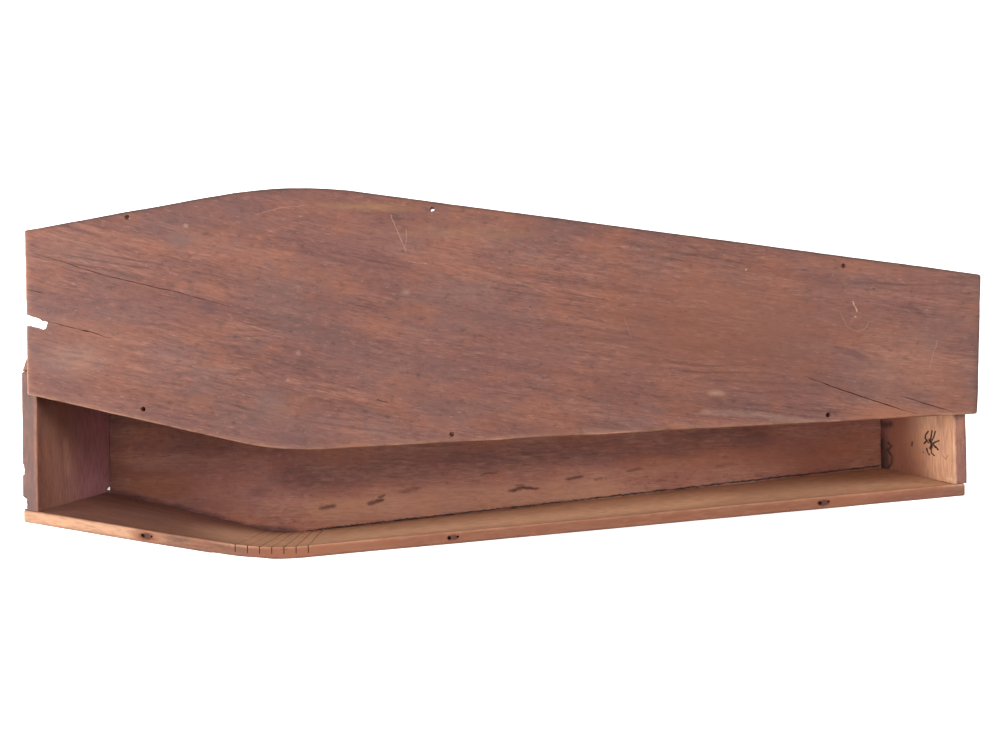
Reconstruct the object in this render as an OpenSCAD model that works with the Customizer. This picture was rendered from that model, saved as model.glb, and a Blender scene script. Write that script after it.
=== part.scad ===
// A child's shouldered coffin built of six boards, with its lid laid askew on the rim.
// X runs from the head end (-) to the foot end (+), Y from the near side (-) to the far
// side (+), and Z up from the underside. Millimetres.
// Each side is one board, sawn part way through from the inside and bent at the shoulder.
// The rim has sprung in at the near shoulder, so that side leans outwards to the floor.

/* [Box] */
// Length of the side boards, from the head end to the foot end
box_length = 1215; // [1000:1:1500]
// Width of the box across its head end
head_width = 209; // [170:0.5:260]
// Width of the box across its foot end
foot_width = 176; // [140:0.5:220]
// Height from the underside to the rim
box_height = 228.6; // [180:0.1:320]

/* [Shoulders] */
// Distance from the head end to the shoulder, along the rim
rim_bend_at = 306; // [250:1:370]
// Distance from the head end to the shoulder, along the underside
floor_bend_at = 276; // [230:1:340]
// Half width at the near shoulder of the rim, where its straights would meet
near_rim_half = 159.6; // [135:0.1:190]
// Half width at the far shoulder of the rim, where its straights would meet
far_rim_half = 172; // [135:0.1:200]
// Half width at both shoulders of the underside
floor_half = 178; // [145:0.1:210]
// Outer radius of the bend at the rim
rim_bend_radius = 458; // [200:1:600]
// Outer radius of the bend at the underside
floor_bend_radius = 210; // [150:1:400]

/* [Boards] */
// Thickness of the side boards
side_thickness = 15.9; // [12:0.1:22]
// Thickness of the head board
head_thickness = 19.5; // [12:0.1:26]
// Thickness of the foot board
foot_thickness = 17; // [12:0.1:26]
// Thickness of the bottom board
bottom_thickness = 12.7; // [9:0.1:20]
// Distance the foot board stands out past the ends of the sides
foot_proud = 2; // [0:0.1:5]
// Clearance in the glued and nailed joints
joint_gap = 0.25; // [0.1:0.05:0.6]
// Shrinkage gap between the bottom board and the near side
bottom_gap = 1.2; // [0.2:0.1:3]

/* [Saw cuts at the shoulders] */
// Number of saw cuts in each side
kerf_count = 7; // [3:1:9]
// Width of the saw blade
kerf_width = 1.1; // [0.6:0.1:2]
// Share of the board's thickness that each cut goes through
kerf_share = 0.6; // [0.3:0.05:0.75]
// Distance of the first cut before the shoulder, along the rim
kerf_rim_before = 35; // [20:1:60]
// Distance of the first cut before the shoulder, along the underside
kerf_floor_before = 21; // [10:1:50]
// Spacing of the cuts along the rim
kerf_rim_pitch = 15.6; // [12:0.1:18]
// Spacing of the cuts along the underside
kerf_floor_pitch = 14.4; // [11:0.1:18]

/* [Lid] */
// How much longer the lid is than the box, along its middle
lid_more_length = 3; // [0:0.5:20]
// How much wider the lid is than the box across the head end
lid_more_head = -0.6; // [-4:0.1:10]
// How much wider the lid is than the box across the foot end
lid_more_foot = 3.2; // [-4:0.1:10]
// How much further from the head end the lid's shoulders lie than the rim's
lid_more_bend = 22; // [-20:1:40]
// How far the lid's near shoulder reaches past the near rim
lid_more_near = 7.9; // [0:0.1:20]
// How far the lid's far shoulder reaches past the far rim
lid_more_far = 3.8; // [0:0.1:20]
// Radius of the lid's near shoulder
lid_near_radius = 400; // [200:1:700]
// Radius of the lid's far shoulder
lid_far_radius = 564; // [200:1:700]
// Thickness of the lid
lid_thickness = 12.7; // [9:0.1:20]
// Distance that each head corner lies off square, the far one further out
lid_skew = 6; // [0:0.5:12]
// Width of the worn slope along the lid's upper edges
lid_arris = 4; // [1:0.5:6]

/* [Lid resting place] */
// How far the middle of the lid lies towards the foot
lid_x = 13.8; // [-20:0.1:20]
// How far the middle of the lid lies towards the far side
lid_y = 136.5; // [0:0.1:140]
// Turn of the lid seen from above, clockwise negative
lid_turn = -2.7; // [-4:0.01:0]
// Clearance between the lid and the rim it rests on
lid_seat = 0.2; // [0.1:0.05:0.5]

/* [Screw holes] */
// Diameter of the holes through the lid
lid_hole_d = 5; // [3:0.1:8]
// Diameter of the holes in the rim
rim_hole_d = 4.4; // [2.5:0.1:6]
// Diameter of the second, smaller hole beside each one in the rim
side_hole_d = 2.6; // [1.5:0.1:4]
// Distance between the two holes of each pair
hole_pair_gap = 11; // [7:0.5:16]
// Depth of the holes in the rim
rim_hole_depth = 22; // [10:1:40]

/* [Hidden] */

// Colours of the boards
lid_colour = [0.46, 0.27, 0.22];
side_colour = [0.56, 0.36, 0.27];
end_colour = [0.50, 0.33, 0.26];
bottom_colour = [0.50, 0.31, 0.24];

// Places of the screw holes: distance from the head end, in the rim and in the lid
// alike, and distance from the lid's edge
near_holes = [[153, 14.5], [546, 10.5], [box_length - 189, 8.8]];
far_holes = [[124, 7.5], [511, 10.2], [box_length - 176, 12.8]];

// Split in the lid's head end: place across it, length, width and angle to its length
notch_y = -11;
notch_length = 28;
notch_width = 11.4;
notch_turn = -15.5;

// Chips out of the head board's upper outer edge: place across it, depth, width
head_chips = [[-37, 4.5, 14], [-81, 8, 19]];
// Clipped corner of the bottom board at the head: along the box and across it
clipped_corner = [11, 7];

// Distance that outlines run on before their ends are cut square
spare = 40;
// Steps along each straight and round each bend
straight_steps = 8;
bend_steps = 10;
head_x = -box_length / 2;
foot_x = box_length / 2;
// More than the half width anywhere
wide = 2 * max(floor_half, near_rim_half, far_rim_half);

// The lid is cut to the outline of the box, with a little over
lid_length = box_length + lid_more_length;
lid_head_half = (head_width + lid_more_head) / 2;
lid_foot_half = (foot_width + lid_more_foot) / 2;
lid_bend_at = rim_bend_at + lid_more_bend;
lid_near_half = near_rim_half + lid_more_near;
lid_far_half = far_rim_half + lid_more_far;

function mix(p, q, t) = p + (q - p) * t;
function row(p, q, steps) = [for (i = [0 : steps - 1]) mix(p, q, i / steps)];

// Outline of one long edge: a straight from the head, a bend and a straight to the foot.
// It starts at x = 0 and is moved inwards by inset. The bend touches both straights.
function bent_edge(length, head_half, foot_half, at, half, radius, inset) =
    let (
        a = atan2(half - head_half, at),
        b = atan2(half - foot_half, length - at),
        reach = radius * tan((a + b) / 2),
        centre = [at - reach * cos(a) + radius * sin(a),
                  half - reach * sin(a) - radius * cos(a)],
        r = radius - inset,
        start = [-spare + inset * sin(a), head_half - spare * tan(a) - inset * cos(a)],
        end = [length + spare - inset * sin(b),
               foot_half - spare * tan(b) - inset * cos(b)],
        bend = [for (i = [0 : bend_steps])
                let (t = 90 + a - (a + b) * i / bend_steps)
                centre + r * [cos(t), sin(t)]]
    )
    concat(row(start, bend[0], straight_steps),
           bend,
           [for (i = [1 : straight_steps]) mix(bend[bend_steps], end, i / straight_steps)]);

// Edge of a side board at height z, between its outline on the floor and at the rim
function side_edge(rim_half, inset, z) =
    let (
        floor_line = bent_edge(box_length, head_width / 2, foot_width / 2,
                               floor_bend_at, floor_half, floor_bend_radius, inset),
        rim_line = bent_edge(box_length, head_width / 2, foot_width / 2,
                             rim_bend_at, rim_half, rim_bend_radius, inset)
    )
    [for (i = [0 : len(rim_line) - 1])
     let (p = mix(floor_line[i], rim_line[i], z / box_height))
     [head_x + p[0], p[1], z]];

// Height across the box at station x of an edge that is a list of points in order
function edge_at(edge, x) =
    [for (i = [0 : len(edge) - 2])
     if (edge[i][0] <= x && x < edge[i + 1][0])
     mix(edge[i][1], edge[i + 1][1], (x - edge[i][0]) / (edge[i + 1][0] - edge[i][0]))][0];

function flipped(points) = [for (p = points) [p[0], -p[1], p[2]]];
function backwards(points) = [for (i = [len(points) - 1 : -1 : 0]) points[i]];

// Solid between a lower and an upper ring of the same number of points
module between_rings(low, high) {
    n = len(low);
    polyhedron(
        points = concat(low, high),
        faces = concat(
            [[for (i = [0 : n - 1]) i]],
            [[for (i = [n - 1 : -1 : 0]) n + i]],
            [for (i = [0 : n - 1]) [i, n + i, (i + 1) % n]],
            [for (i = [0 : n - 1]) [(i + 1) % n, n + i, n + (i + 1) % n]]));
}

// Solid along four long lines, given in turn round its cross-section. Its twisted faces
// are all split along the same diagonal, so a board and what fits against it stay parallel.
module along_lines(lines) {
    n = len(lines[0]);
    last = 4 * (n - 1);
    polyhedron(
        points = [for (i = [0 : n - 1]) for (line = lines) line[i]],
        faces = concat(
            [[3, 2, 1, 0], [last, last + 1, last + 2, last + 3]],
            [for (i = [0 : 4 : last - 4]) for (k = [0, 1]) for (half = [0, 1])
             half == 0 ? [i + k, i + k + 1, i + k + 4]
                       : [i + k + 4, i + k + 1, i + k + 5]],
            [for (i = [0 : 4 : last - 4]) for (k = [2, 3]) for (half = [0, 1])
             let (next = (k + 1) % 4)
             half == 0 ? [i + k, i + next, i + next + 4]
                       : [i + k, i + next + 4, i + k + 4]]));
}

// Room between the two sides, less a gap along each, and a little taller than they are
module inside(near_gap, far_gap) {
    function far_line(z) = side_edge(far_rim_half, side_thickness + far_gap, z);
    function near_line(z) = flipped(side_edge(near_rim_half, side_thickness + near_gap, z));
    along_lines([far_line(-1), near_line(-1),
                 near_line(box_height + 1), far_line(box_height + 1)]);
}

// Block that cuts the boards to length and height
module block(x, y, z) {
    translate([x[0], y[0], z[0]]) cube([x[1] - x[0], y[1] - y[0], z[1] - z[0]]);
}

// One saw cut across a side, from its inner face
module kerf(rim_half, number) {
    depth = side_thickness * kerf_share;
    function cut(z, x) =
        let (y = edge_at(side_edge(rim_half, side_thickness, z), x))
        [[x - kerf_width / 2, y - side_thickness / 2, z],
         [x + kerf_width / 2, y - side_thickness / 2, z],
         [x + kerf_width / 2, y + depth, z],
         [x - kerf_width / 2, y + depth, z]];
    between_rings(
        cut(-1, head_x + floor_bend_at - kerf_floor_before + number * kerf_floor_pitch),
        cut(box_height + 1, head_x + rim_bend_at - kerf_rim_before + number * kerf_rim_pitch));
}

// The two holes of one screw place in the rim, half way through the board
module rim_hole_pair(rim_half, at) {
    edge = side_edge(rim_half, side_thickness / 2, box_height);
    for (hole = [[0, rim_hole_d], [hole_pair_gap, side_hole_d]])
        translate([head_x + at + hole[0], edge_at(edge, head_x + at + hole[0]),
                   box_height - rim_hole_depth])
            cylinder(d = hole[1], h = rim_hole_depth + 1, $fn = 24);
}

// A side board as it lies on the far side of the box
module side_board(rim_half, holes) {
    difference() {
        intersection() {
            along_lines([side_edge(rim_half, 0, 0),
                         side_edge(rim_half, side_thickness, 0),
                         side_edge(rim_half, side_thickness, box_height),
                         side_edge(rim_half, 0, box_height)]);
            block([head_x, foot_x], [0, wide], [-1, box_height + 1]);
        }
        for (i = [0 : kerf_count - 1]) kerf(rim_half, i);
        for (hole = holes) rim_hole_pair(rim_half, hole[0]);
    }
}

module near_side() {
    color(side_colour) mirror([0, 1, 0]) side_board(near_rim_half, near_holes);
}

module far_side() {
    color(side_colour) side_board(far_rim_half, far_holes);
}

module head_board() {
    color(end_colour) difference() {
        intersection() {
            inside(joint_gap, joint_gap);
            block([head_x, head_x + head_thickness], [-wide, wide], [0, box_height]);
        }
        for (chip = head_chips) {
            // Radius of the ball that takes out this depth and width
            r = (chip[2] * chip[2] / 4 + chip[1] * chip[1]) / (2 * chip[1]);
            translate([head_x + chip[1] - r, chip[0], box_height]) sphere(r = r, $fn = 32);
        }
    }
}

module foot_board() {
    color(end_colour) intersection() {
        inside(joint_gap, joint_gap);
        block([foot_x + foot_proud - foot_thickness, foot_x + foot_proud],
              [-wide, wide], [0, box_height]);
    }
}

module bottom_board() {
    start = head_x + head_thickness + joint_gap;
    end = foot_x + foot_proud - foot_thickness - joint_gap;
    corner_y = edge_at(side_edge(near_rim_half, side_thickness, 0), start);
    color(bottom_colour) difference() {
        intersection() {
            inside(bottom_gap, joint_gap);
            block([start, end], [-wide, wide], [0, bottom_thickness]);
        }
        translate([start, -corner_y, -1])
            linear_extrude(bottom_thickness + 2)
                polygon([[-spare, -spare], [clipped_corner[0] + spare, -spare],
                         [clipped_corner[0], 0], [0, clipped_corner[1]],
                         [-spare, clipped_corner[1]]]);
    }
}

// One long edge of the lid, drawn as if on the far side, with the head end at x = 0
function lid_edge(half, radius) =
    bent_edge(lid_length, lid_head_half, lid_foot_half, lid_bend_at, half, radius, 0);

// The lid seen from above, its middle along y = 0 and its head end off square
module lid_outline() {
    reach = 2 * lid_head_half;
    turned = lid_skew * reach / lid_head_half;
    intersection() {
        polygon(concat(
            [for (p = lid_edge(lid_near_half, lid_near_radius)) [p[0], -p[1]]],
            backwards(lid_edge(lid_far_half, lid_far_radius))));
        polygon([[turned, -reach], [lid_length, -reach],
                 [lid_length, reach], [-turned, reach]]);
    }
}

module lid_holes(holes, side, edge) {
    for (hole = holes)
        translate([hole[0], side * (edge_at(edge, hole[0]) - hole[1]), -1])
            cylinder(d = lid_hole_d, h = lid_thickness + 2, $fn = 24);
}

// The split in the head end, open at the end and clipped at its inner corner
module lid_notch() {
    translate([0, notch_y, -1]) rotate([0, 0, notch_turn])
        linear_extrude(lid_thickness + 2)
            polygon([[-spare, -notch_width / 2 - 1], [notch_length - 3, -notch_width / 2],
                     [notch_length, -notch_width / 2 + 3], [notch_length, notch_width / 2],
                     [-spare, notch_width / 2 + 1]]);
}

module lid() {
    color(lid_colour)
    translate([lid_x, lid_y, box_height + lid_seat]) rotate([0, 0, lid_turn])
    translate([-lid_length / 2, 0, 0])
    difference() {
        hull() {
            linear_extrude(lid_thickness - lid_arris) lid_outline();
            linear_extrude(lid_thickness) offset(delta = -lid_arris) lid_outline();
        }
        lid_holes(near_holes, -1, lid_edge(lid_near_half, lid_near_radius));
        lid_holes(far_holes, 1, lid_edge(lid_far_half, lid_far_radius));
        lid_notch();
    }
}

bottom_board();
near_side();
far_side();
head_board();
foot_board();
lid();
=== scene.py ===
"""Looks of a child's shouldered coffin of old red-brown boards, its lid laid askew on the rim.

Metres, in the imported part's own frame: X from the head end (-) to the foot end (+), Y from the
near side (-) to the far side (+), Z up from the underside. Each board is worked out in board
space: s along its grain, w across it and h through its thickness.
"""

import logging
import math
from dataclasses import dataclass, field
from enum import Enum
from typing import Iterable, Sequence

import bpy
import numpy as np
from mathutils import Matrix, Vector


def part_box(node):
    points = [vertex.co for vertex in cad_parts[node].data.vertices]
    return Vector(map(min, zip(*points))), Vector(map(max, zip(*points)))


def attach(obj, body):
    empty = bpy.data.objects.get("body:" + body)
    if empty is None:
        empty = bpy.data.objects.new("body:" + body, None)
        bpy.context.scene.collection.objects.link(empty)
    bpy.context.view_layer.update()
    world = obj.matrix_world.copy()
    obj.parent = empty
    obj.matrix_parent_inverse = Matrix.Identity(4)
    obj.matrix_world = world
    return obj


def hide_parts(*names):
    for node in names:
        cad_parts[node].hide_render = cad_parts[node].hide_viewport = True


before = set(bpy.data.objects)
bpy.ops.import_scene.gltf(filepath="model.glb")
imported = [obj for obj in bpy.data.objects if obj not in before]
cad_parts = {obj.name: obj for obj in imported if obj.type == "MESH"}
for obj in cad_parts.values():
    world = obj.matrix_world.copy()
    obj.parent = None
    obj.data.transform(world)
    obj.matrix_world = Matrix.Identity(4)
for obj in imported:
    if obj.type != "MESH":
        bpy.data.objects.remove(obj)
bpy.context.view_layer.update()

MM = 0.001
log = logging.getLogger("coffin")

Array = np.ndarray
Colour = tuple[float, float, float]
Point2 = tuple[float, float]
Point3 = tuple[float, float, float]


# ---------------------------------------------------------------- surfaces


def smooth(values: Array, low: float, high: float) -> Array:
    """Soft step from 0 at low to 1 at high: 3t squared less 2t cubed.

    Args:
        values: Numbers to step.
        low: Where the step starts.
        high: Where the step ends.

    Returns:
        One number from 0 to 1 for each value.
    """
    t = np.clip((values - low) / (high - low), 0, 1)
    return t * t * (3 - 2 * t)


def ripple(points: Array, wavelength: float, seed: int, waves: int = 14) -> Array:
    """Smooth seeded noise: the mean of sine waves of random direction, length and phase.

    Args:
        points: Points, one a row.
        wavelength: Usual length of a wave.
        seed: Number that fixes the waves.
        waves: Number of waves.

    Returns:
        One number for each point, mostly between -1 and 1.
    """
    draw = np.random.default_rng(seed)
    heading = draw.normal(size=(points.shape[1], waves))
    heading /= np.linalg.norm(heading, axis=0)
    turns = heading / (wavelength * draw.uniform(0.6, 1.7, waves))
    phase = draw.uniform(0, 2 * math.pi, waves)
    return np.sin(2 * math.pi * points @ turns + phase).sum(1) * math.sqrt(2 / waves) / 1.6


@dataclass(frozen=True)
class Skin:
    """Surface of a lattice of points: which line of each axis every point is on, and its quads."""

    i: Array
    j: Array
    k: Array
    quads: Array

    @classmethod
    def of(cls, ni: int, nj: int, nk: int) -> "Skin":
        """Takes the points of a lattice that lie on one of its six sides.

        A point is on the skin where one of its three numbers is the first or the last. Each
        side is a grid of quads, wound so that it faces outwards.

        Args:
            ni: Lines along the board.
            nj: Lines across it.
            nk: Lines through it.

        Returns:
            The closed skin.
        """
        i, j, k = np.indices((ni, nj, nk))
        on = (i % (ni - 1) == 0) | (j % (nj - 1) == 0) | (k % (nk - 1) == 0)
        number = np.full(on.shape, -1)
        number[on] = np.arange(on.sum())
        sides = [
            number[0].T,
            number[-1],
            number[:, 0],
            number[:, -1].T,
            number[:, :, 0].T,
            number[:, :, -1],
        ]
        quads = [
            np.stack([g[:-1, :-1], g[1:, :-1], g[1:, 1:], g[:-1, 1:]], -1).reshape(-1, 4)
            for g in sides
        ]
        return cls(i[on], j[on], k[on], np.concatenate(quads))

    def mesh(self, name: str, points: Array, mirrored: bool = False) -> bpy.types.Object:
        """Puts the skin into a new object.

        Args:
            name: Name of the object.
            points: Place of each point of the skin, one a row.
            mirrored: Whether the places turn the skin inside out, so that its quads turn too.

        Returns:
            The object, linked to the scene.
        """
        quads = self.quads[:, ::-1] if mirrored else self.quads
        mesh = bpy.data.meshes.new(name)
        mesh.vertices.add(len(points))
        mesh.vertices.foreach_set("co", np.ascontiguousarray(points, np.float32).ravel())
        mesh.loops.add(quads.size)
        mesh.loops.foreach_set("vertex_index", quads.ravel().astype(np.int32))
        mesh.polygons.add(len(quads))
        mesh.polygons.foreach_set("loop_start", np.arange(0, quads.size, 4, dtype=np.int32))
        mesh.update(calc_edges=True)
        piece = bpy.data.objects.new(name, mesh)
        bpy.context.scene.collection.objects.link(piece)
        return piece


@dataclass(frozen=True)
class Lines:
    """Lattice lines across a board, close together along its two arrises.

    Each line's place is share * width + offset, so that a board may change its width.
    """

    share: Array
    offset: Array

    ARRIS = np.array([0, 0.3, 0.7, 1.2, 2.0, 3.4]) * MM

    @classmethod
    def even(cls, width: float, step: float) -> "Lines":
        """Spreads lines evenly between the close ones.

        Args:
            width: Usual width.
            step: Usual spacing.

        Returns:
            The lines in order.
        """
        margin = cls.ARRIS[-1]
        count = max(2, round((width - 2 * margin) / step))
        share = np.arange(1, count) / count
        ends = np.zeros(len(cls.ARRIS))
        return cls(
            np.concatenate([ends, share, ends + 1]),
            np.concatenate([cls.ARRIS, (1 - 2 * share) * margin, -cls.ARRIS[::-1]]),
        )

    def at(self, index: Array, width: Array | float) -> Array:
        """Place of the numbered lines where the board is this wide."""
        return self.share[index] * width + self.offset[index]


def eased(reach: Sequence[tuple[Array, Array]], radius: Array) -> list[Array]:
    """Moves the points of a box's skin so that its arrises and corners are round.

    Close to a face, a point is radius less its distance past the centre of the rounding. The
    vector of the three such numbers is cut back to the radius.

    Args:
        reach: For each axis, each point's distance to the low face and to the high face.
        radius: Radius at each point.

    Returns:
        The move along each axis.
    """
    past = [
        np.maximum(radius - high, 0) - np.maximum(radius - low, 0) for low, high in reach
    ]
    length = np.sqrt(sum(p * p for p in past))
    return [p * (radius / np.maximum(length, 1e-9) - 1) for p in past]


# ---------------------------------------------------------------- shader maths


class Value:
    """A number in a shader. Arithmetic on it adds Math nodes."""

    def __init__(self, tree: "Tree", socket: bpy.types.NodeSocket) -> None:
        """Wraps an output socket."""
        self.tree = tree
        self.socket = socket

    def _with(self, operation: str, *numbers: "Value | float") -> "Value":
        """Math node of this operation on these numbers, in order."""
        inputs = dict(enumerate(numbers))
        return self.tree.value("ShaderNodeMath", {"operation": operation}, inputs)

    def __add__(self, other: "Value | float") -> "Value":
        """Sum."""
        return self._with("ADD", self, other)

    def __sub__(self, other: "Value | float") -> "Value":
        """Difference."""
        return self._with("SUBTRACT", self, other)

    def __rsub__(self, other: "Value | float") -> "Value":
        """Difference, taken from a number."""
        return self._with("SUBTRACT", other, self)

    def __mul__(self, other: "Value | float") -> "Value":
        """Product."""
        return self._with("MULTIPLY", self, other)

    __radd__ = __add__
    __rmul__ = __mul__

    def most(self, other: "Value | float") -> "Value":
        """The larger of two numbers."""
        return self._with("MAXIMUM", self, other)

    def sine(self) -> "Value":
        """Sine of the number."""
        return self._with("SINE", self)

    def held(self) -> "Value":
        """The number, kept from 0 to 1."""
        return self.step(0, 1, "LINEAR")

    def step(self, low: float, high: float, kind: str = "SMOOTHSTEP") -> "Value":
        """Soft step from 0 at low to 1 at high.

        Args:
            low: Where the step starts.
            high: Where the step ends; below low, the step falls.
            kind: Interpolation of the Map Range node.

        Returns:
            A number from 0 to 1.
        """
        ends = {"From Min": low, "From Max": high, "Value": self}
        if low > high:
            ends = {"From Min": high, "From Max": low, "To Min": 1.0, "To Max": 0.0, "Value": self}
        return self.tree.value("ShaderNodeMapRange", {"interpolation_type": kind}, ends)


Paint = bpy.types.NodeSocket


class Tree:
    """Nodes of one material. The MIX numbers are the places of a colour Mix node's sockets."""

    MIX_SHARE = 0
    MIX_BELOW = 6
    MIX_ABOVE = 7
    MIX_COLOUR = 2

    def __init__(self, name: str) -> None:
        """Starts a material with an empty node tree."""
        self.material = bpy.data.materials.new(name)
        self.material.use_nodes = True
        self.nodes = self.material.node_tree.nodes
        self.nodes.clear()

    def node(self, kind: str, settings: dict, inputs: dict) -> bpy.types.Node:
        """Makes a node.

        Args:
            kind: Type of the node.
            settings: Its own settings, set first. A ramp's stops go under "stops".
            inputs: Numbers, colours, Values or sockets for its inputs, by name or place.

        Returns:
            The node.
        """
        made = self.nodes.new(kind)
        for name, setting in settings.items():
            if name == "stops":
                self._stops(made.color_ramp, setting)
            else:
                setattr(made, name, setting)
        for name, given in inputs.items():
            given = given.socket if isinstance(given, Value) else given
            if isinstance(given, bpy.types.NodeSocket):
                self.material.node_tree.links.new(given, made.inputs[name])
            else:
                made.inputs[name].default_value = given
        return made

    @staticmethod
    def _stops(ramp: bpy.types.ColorRamp, stops: Sequence[tuple[float, Colour]]) -> None:
        """Sets a ramp's stops.

        Args:
            ramp: Ramp to set.
            stops: Place and colour of each stop.
        """
        while len(ramp.elements) < len(stops):
            ramp.elements.new(0.5)
        for element, (place, colour) in zip(ramp.elements, stops):
            element.position = place
            element.color = (*colour, 1)

    def value(self, kind: str, settings: dict, inputs: dict, output: int | str = 0) -> Value:
        """Makes a node and wraps its output as a number."""
        return Value(self, self.node(kind, settings, inputs).outputs[output])

    def noise(self, place: Paint, size: Point3, detail: float, rough: float = 0.55) -> Value:
        """Noise stretched over a board.

        Args:
            place: Vector to read.
            size: Usual length of a blot along each axis, in metres.
            detail: Number of finer layers.
            rough: Strength of each finer layer.

        Returns:
            A number about 0.5.
        """
        scaled = self.vector("MULTIPLY", place, tuple(1 / length for length in size))
        inputs = {"Vector": scaled, "Scale": 1.0, "Detail": detail, "Roughness": rough}
        return self.value("ShaderNodeTexNoise", {}, inputs)

    def vector(self, operation: str, *parts: Paint | Point3) -> Paint:
        """Vector Math node on these vectors."""
        inputs = dict(enumerate(parts))
        return self.node("ShaderNodeVectorMath", {"operation": operation}, inputs).outputs[0]

    def length(self, vector: Paint) -> Value:
        """Length of a vector."""
        return self.value("ShaderNodeVectorMath", {"operation": "LENGTH"}, {0: vector}, "Value")

    def mix(self, share: Value | float, below: Paint | Colour, above: Paint | Colour) -> Paint:
        """Lays one colour over another.

        Args:
            share: How much of the upper colour shows.
            below: Lower colour.
            above: Upper colour.

        Returns:
            The colour.
        """
        low, high = (
            (*given, 1) if isinstance(given, tuple) else given for given in (below, above)
        )
        inputs = {self.MIX_SHARE: share, self.MIX_BELOW: low, self.MIX_ABOVE: high}
        return self.node("ShaderNodeMix", {"data_type": "RGBA"}, inputs).outputs[self.MIX_COLOUR]

    def output(self, shader: Paint) -> None:
        """Ends the tree in this shader."""
        self.node("ShaderNodeOutputMaterial", {}, {"Surface": shader})


def srgb(red: int, green: int, blue: int) -> Colour:
    """Linear colour from everyday 0 to 255 numbers.

    Args:
        red: Red part.
        green: Green part.
        blue: Blue part.

    Returns:
        The colour, each part from 0 to 1.
    """
    return tuple(
        c / 12.92 if c <= 0.04045 else ((c + 0.055) / 1.055) ** 2.4
        for c in (red / 255, green / 255, blue / 255)
    )


# ---------------------------------------------------------------- finishes


class Tint(Enum):
    """Colour of a mark in the wood."""

    PALE = srgb(160, 128, 112)
    CREAM = srgb(180, 154, 122)
    LIGHT_TAN = srgb(232, 178, 138)
    ROSE = srgb(192, 134, 142)
    ORANGE = srgb(140, 82, 54)
    GOLD = srgb(140, 99, 66)
    TAN = srgb(184, 134, 104)
    GREY = srgb(102, 80, 75)
    PLUM = srgb(76, 44, 48)
    RUST = srgb(78, 38, 24)
    INK = srgb(28, 16, 13)


@dataclass(frozen=True)
class Mark:
    """A stain, scratch or scuff: the neighbourhood of a path in board space.

    Attributes:
        tint: Its colour.
        path: Points in millimetres, (s, w, h); a single point makes a spot.
        size: Reach on each side of the path along s, w and h, in millimetres.
        strength: How much of the tint shows at its middle.
        hard: Share of its reach that is of full strength.
    """

    tint: Tint
    path: tuple[Point3, ...]
    size: Point3
    strength: float = 0.6
    hard: float = 0.2

    def spread(self, tree: Tree, place: Paint) -> Value:
        """Strength of the mark at a place: how near it is to the nearest segment.

        Args:
            tree: Nodes to add to.
            place: Board coordinates, in metres.

        Returns:
            A number from 0 to the mark's strength.
        """
        stretch = tuple(1 / (MM * reach) for reach in self.size)
        there = tree.vector("MULTIPLY", place, stretch)
        spots = [tuple(c / r for c, r in zip(point, self.size)) for point in self.path]
        found = None
        for start, end in zip(spots, spots[1:] or spots):
            away = tree.vector("SUBTRACT", there, start)
            along = np.subtract(end, start)
            if along.any():
                unit = tuple(along / (along @ along))
                share = tree.node(
                    "ShaderNodeVectorMath", {"operation": "DOT_PRODUCT"}, {0: away, 1: unit}
                ).outputs["Value"]
                share = Value(tree, share).held()
                inputs = {0: tuple(along), "Scale": share}
                nearest = tree.node("ShaderNodeVectorMath", {"operation": "SCALE"}, inputs)
                away = tree.vector("SUBTRACT", away, nearest.outputs[0])
            near = tree.length(away).step(1, self.hard)
            found = near if found is None else found.most(near)
        return found * self.strength


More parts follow.
